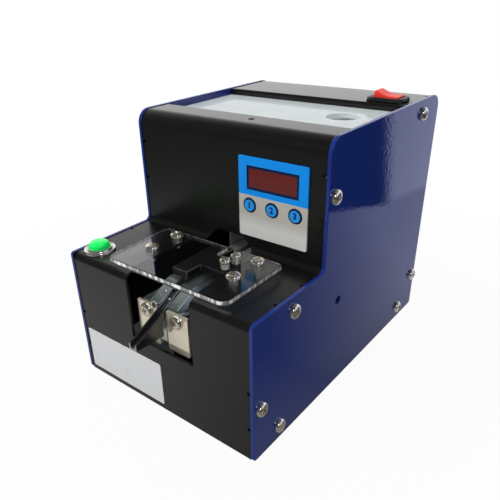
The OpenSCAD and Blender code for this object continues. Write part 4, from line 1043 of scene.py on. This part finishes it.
def sweepBrush():
    low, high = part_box("brush")
    middle = (low + high) / 2
    width = high.x - low.x
    hub = brushHub(width)
    intoMesh(hub, Matrix.Translation(middle) @ turnTo((1, 0, 0)))
    tuft = brushTuft((high.z - low.z) / 2)
    copies = [hub]
    for row in range(brushShape["rows"]):
        x = ((row + 0.5) / brushShape["rows"] - 0.5) * width
        place = Matrix.Translation(middle + Vector((x, 0, 0)))
        for t in range(brushShape["tufts"]):
            turn = math.radians((t + (row % 2) / 2) * 360 / brushShape["tufts"])
            copies.append(copyPiece(tuft, place @ Matrix.Rotation(turn, 4, "X")))
    dropPiece(tuft)
    standFor(dress(joinPieces(copies, "sweepBrush"), bristleFibre), "brush")


sweepBrush()
print("brush done")

# CAD nodes whose shape is right keep it and get a finish

kept = {
    zincSheet: ["base_plate", "hopper_left", "hopper_right", "hopper_front", "hopper_rear", "scoop_pocket"],
    motorSteel: ["scoop_shaft", "scoop_motor", "brush_shaft", "brush_motor"],
    softIron: ["vibrator_base", "magnet_core", "armature"],
    blackPlastic: ["led_digits", "key_switches", "board_parts"],
    boardGreen: ["display_board", "control_board"],
    zincSteel: ["display_standoffs"], nickelSteel: ["board_spacers"], railSteel: ["scoop"],
    bearingBronze: ["shaft_bushes"], springSteel: ["leaf_springs"], footRubber: ["vibrator_mounts"],
    copperWire: ["magnet_coil"],
}
inletEdges = {"jack": 0.15 * mm, "nut": 0.2 * mm}
for material, nodeNames in kept.items():
    for nodeName in nodeNames:
        dress(nodes[nodeName], material)
softCopy("dc_jack", "powerInlet", inletEdges["jack"], blackPlastic)
softCopy("jack_nut", "inletNut", inletEdges["nut"], zincSteel)
print("inside done")

# Floor, light and camera

studio = {
    "floorSize": 12.0, "floorTone": 0.55, "floorSwing": 0.02, "floorNoise": (9.0, 3.0),
    "floorSpan": (0.3, 0.7), "floorRoughness": 0.9, "floorGlow": 0.955, "shadow": (0.14, 0.34),
    "ambient": 0.36, "ambientLean": 0.12, "aim": (0, 0, 0.07),
    "sky": {"level": 1.0, "low": 0.5, "high": 0.72, "zenith": 0.15, "front": 0.07, "ahead": (-0.25, 0.1),
            "right": 0.8, "soft": 0.03},
    "front": {"middle": (-0.12, -0.14, 0), "level": 0.57, "near": 0.05, "far": 0.27},
    "rear": {"lean": 1.2, "from": 0.08, "low": -0.04, "high": 0.14, "dark": 0.08, "level": 0.57},
    "far": {"nearEdge": (0.3476, 0.69), "farEdge": (0.2084, 0.173), "point": (0.173, 0.31),
            "way": (0.912, -0.409), "soft": 0.005, "level": 0.85, "dark": 0.01},
    "tint": {"rear": (0.93, 0.96, 1.3), "floor": (0.0, 0.2), "sky": (0.0, 0.35)},
}
lamps = {
    "key": {"place": (-0.5, -0.8, 0.8), "size": 0.7, "power": 9.0, "mirrored": False},
    "top": {"place": (-0.1, 0.25, 1.2), "size": 0.9, "power": 6.0, "mirrored": False},
    "side": {"place": (0.75, -0.6, 0.6), "size": 0.3, "power": 1.2, "mirrored": True},
}
white = (1, 1, 1)


def rays(tree, *kinds):
    path = tree.nodes.new("ShaderNodeLightPath")
    total = path.outputs[kinds[0]]
    for kind in kinds[1:]:
        total = calc(tree, "MAXIMUM", total, path.outputs[kind])
    return total


# Goes from the first value to the second one as the factor goes from 0 to 1

def faded(tree, factor, first, second):
    return calc(tree, "MULTIPLY_ADD", calc(tree, "SUBTRACT", second, first), factor, first)


# Runs from 0 to 1 across the line that parts the bright side from the dark one

def rightOf(tree, vector, point, soft):
    at = axes(tree, vector)
    wayX, wayY = studio["far"]["way"]
    along = calc(tree, "MULTIPLY_ADD", at["X"], wayX, calc(tree, "MULTIPLY", at["Y"], wayY))
    edge = point[0] * wayX + point[1] * wayY
    return ranged(tree, along, edge - soft, edge + soft)


# What paint and metal mirror of the floor: a pale patch in front, paler towards the rear, and past
# an edge on the right a bright part beside a dark one

def mirroredFloor(tree, place):
    at = axes(tree, place)
    front, rear, far = studio["front"], studio["rear"], studio["far"]
    gap = distanceFrom(tree, place, front["middle"])
    patch = ranged(tree, gap, front["near"], front["far"], front["level"], studio["sky"]["front"])
    out = calc(tree, "MAXIMUM", calc(tree, "SUBTRACT", at["X"], rear["from"]), 0.0)
    leaning = calc(tree, "MULTIPLY_ADD", out, -rear["lean"], at["Y"])
    back = ranged(tree, leaning, rear["low"], rear["high"], rear["dark"], rear["level"])
    near = calc(tree, "MAXIMUM", patch, back)
    gaps = []
    for edge, slant in (far["nearEdge"], far["farEdge"]):
        gaps.append(calc(tree, "SUBTRACT", calc(tree, "MULTIPLY_ADD", at["Y"], slant, at["X"]), edge))
    past = ranged(tree, calc(tree, "MINIMUM", *gaps), -far["soft"], far["soft"])
    dark = rightOf(tree, place, far["point"], far["soft"])
    return faded(tree, past, near, ranged(tree, dark, 0.0, 1.0, far["level"], far["dark"]))


def paleFloor():
    floor = addPiece(bpy.ops.mesh.primitive_plane_add, size=studio["floorSize"])
    floor.name = "paleFloor"
    material, tree, shader, place = newMaterial("paleFloor")
    tone, swing = studio["floorTone"], studio["floorSwing"]
    cloud = noise(tree, place, *studio["floorNoise"])
    level = ranged(tree, cloud, *studio["floorSpan"], tone - swing, tone + swing)
    setInputs(tree, shader, {"Base Color": grey(tree, level), "Roughness": studio["floorRoughness"],
                             "Specular IOR Level": 0.0})
    away = distanceFrom(tree, place, (0, 0, 0))
    glow = ranged(tree, away, *studio["shadow"], studio["floorGlow"], 1.0)
    shown = calc(tree, "MULTIPLY", glow, rays(tree, "Is Camera Ray", "Is Transmission Ray"))
    seen = mixedShaders(tree, shown, shader, addNode(tree, "Emission", {"Color": white}))
    behind = ranged(tree, axes(tree, place)["Y"], *studio["tint"]["floor"])
    mirrored = addNode(tree, "Emission", {"Color": mixed(tree, behind, white, studio["tint"]["rear"]),
                                          "Strength": mirroredFloor(tree, place)})
    both = mixedShaders(tree, rays(tree, "Is Glossy Ray"), seen, mirrored)
    tree.links.new(both.outputs[0], tree.nodes["Material Output"].inputs["Surface"])
    floor.data.materials.append(material)


def softWorld():
    world = bpy.data.worlds.new("softWorld")
    bpy.context.scene.world = world
    world.use_nodes = True
    tree = world.node_tree
    way = tree.nodes.new("ShaderNodeTexCoord").outputs["Generated"]
    at = axes(tree, way)
    sky = studio["sky"]
    band = ranged(tree, at["Z"], sky["low"], sky["high"], sky["level"], sky["zenith"])
    ahead = ranged(tree, at["Y"], *sky["ahead"], sky["front"], 1.0)
    right = ranged(tree, rightOf(tree, way, (0, 0), sky["soft"]), 0.0, 1.0, 1.0, sky["right"])
    mirrored = calc(tree, "MULTIPLY", calc(tree, "MULTIPLY", band, ahead), right)
    ambient = calc(tree, "MULTIPLY_ADD", at["X"], -studio["ambientLean"], studio["ambient"])
    glossy = rays(tree, "Is Glossy Ray")
    level = faded(tree, glossy, ambient, mirrored)
    level = faded(tree, rays(tree, "Is Camera Ray", "Is Transmission Ray"), level, 1.0)
    tinted = calc(tree, "MULTIPLY", glossy, ranged(tree, at["X"], *studio["tint"]["sky"]))
    colour = mixed(tree, tinted, white, studio["tint"]["rear"])
    setInputs(tree, tree.nodes["Background"], {"Color": colour, "Strength": level})


def softLamp(name, look):
    light = bpy.data.lights.new(name + "Light", "AREA")
    light.shape = "SQUARE"
    light.size = look["size"]
    light.energy = look["power"]
    lamp = newObject(name + "Light", light)
    lamp.location = look["place"]
    lamp.visible_glossy = look["mirrored"]
    lamp.visible_transmission = look["mirrored"]
    aim = Vector(studio["aim"]) - Vector(look["place"])
    lamp.rotation_euler = aim.to_track_quat("-Z", "Y").to_euler()


paleFloor()
softWorld()
for name, look in lamps.items():
    softLamp(name, look)

view = {"eye": (0.1731, -0.23135, 0.2033), "lens": 38.48, "sensor": 36, "shift": (0.0465, 0.0441),
        "clip": 0.01, "right": (0.7734, 0.6331, -0.0328), "down": (0.2748, -0.3814, -0.8826),
        "forward": (-0.5713, 0.6736, -0.4689)}
camera = bpy.data.cameras.new("photoCamera")
camera.sensor_width = view["sensor"]
camera.lens = view["lens"]
camera.shift_x, camera.shift_y = view["shift"]
camera.clip_start = view["clip"]
holder = newObject("photoCamera", camera)
columns = (Vector(view["right"]), -Vector(view["down"]), -Vector(view["forward"]))
turn = Matrix([[column[row] for column in columns] for row in range(3)]).to_4x4()
holder.matrix_world = Matrix.Translation(view["eye"]) @ turn
bpy.context.scene.camera = holder
bpy.context.scene.view_settings.view_transform = "Standard"
print("floor, light and camera done")
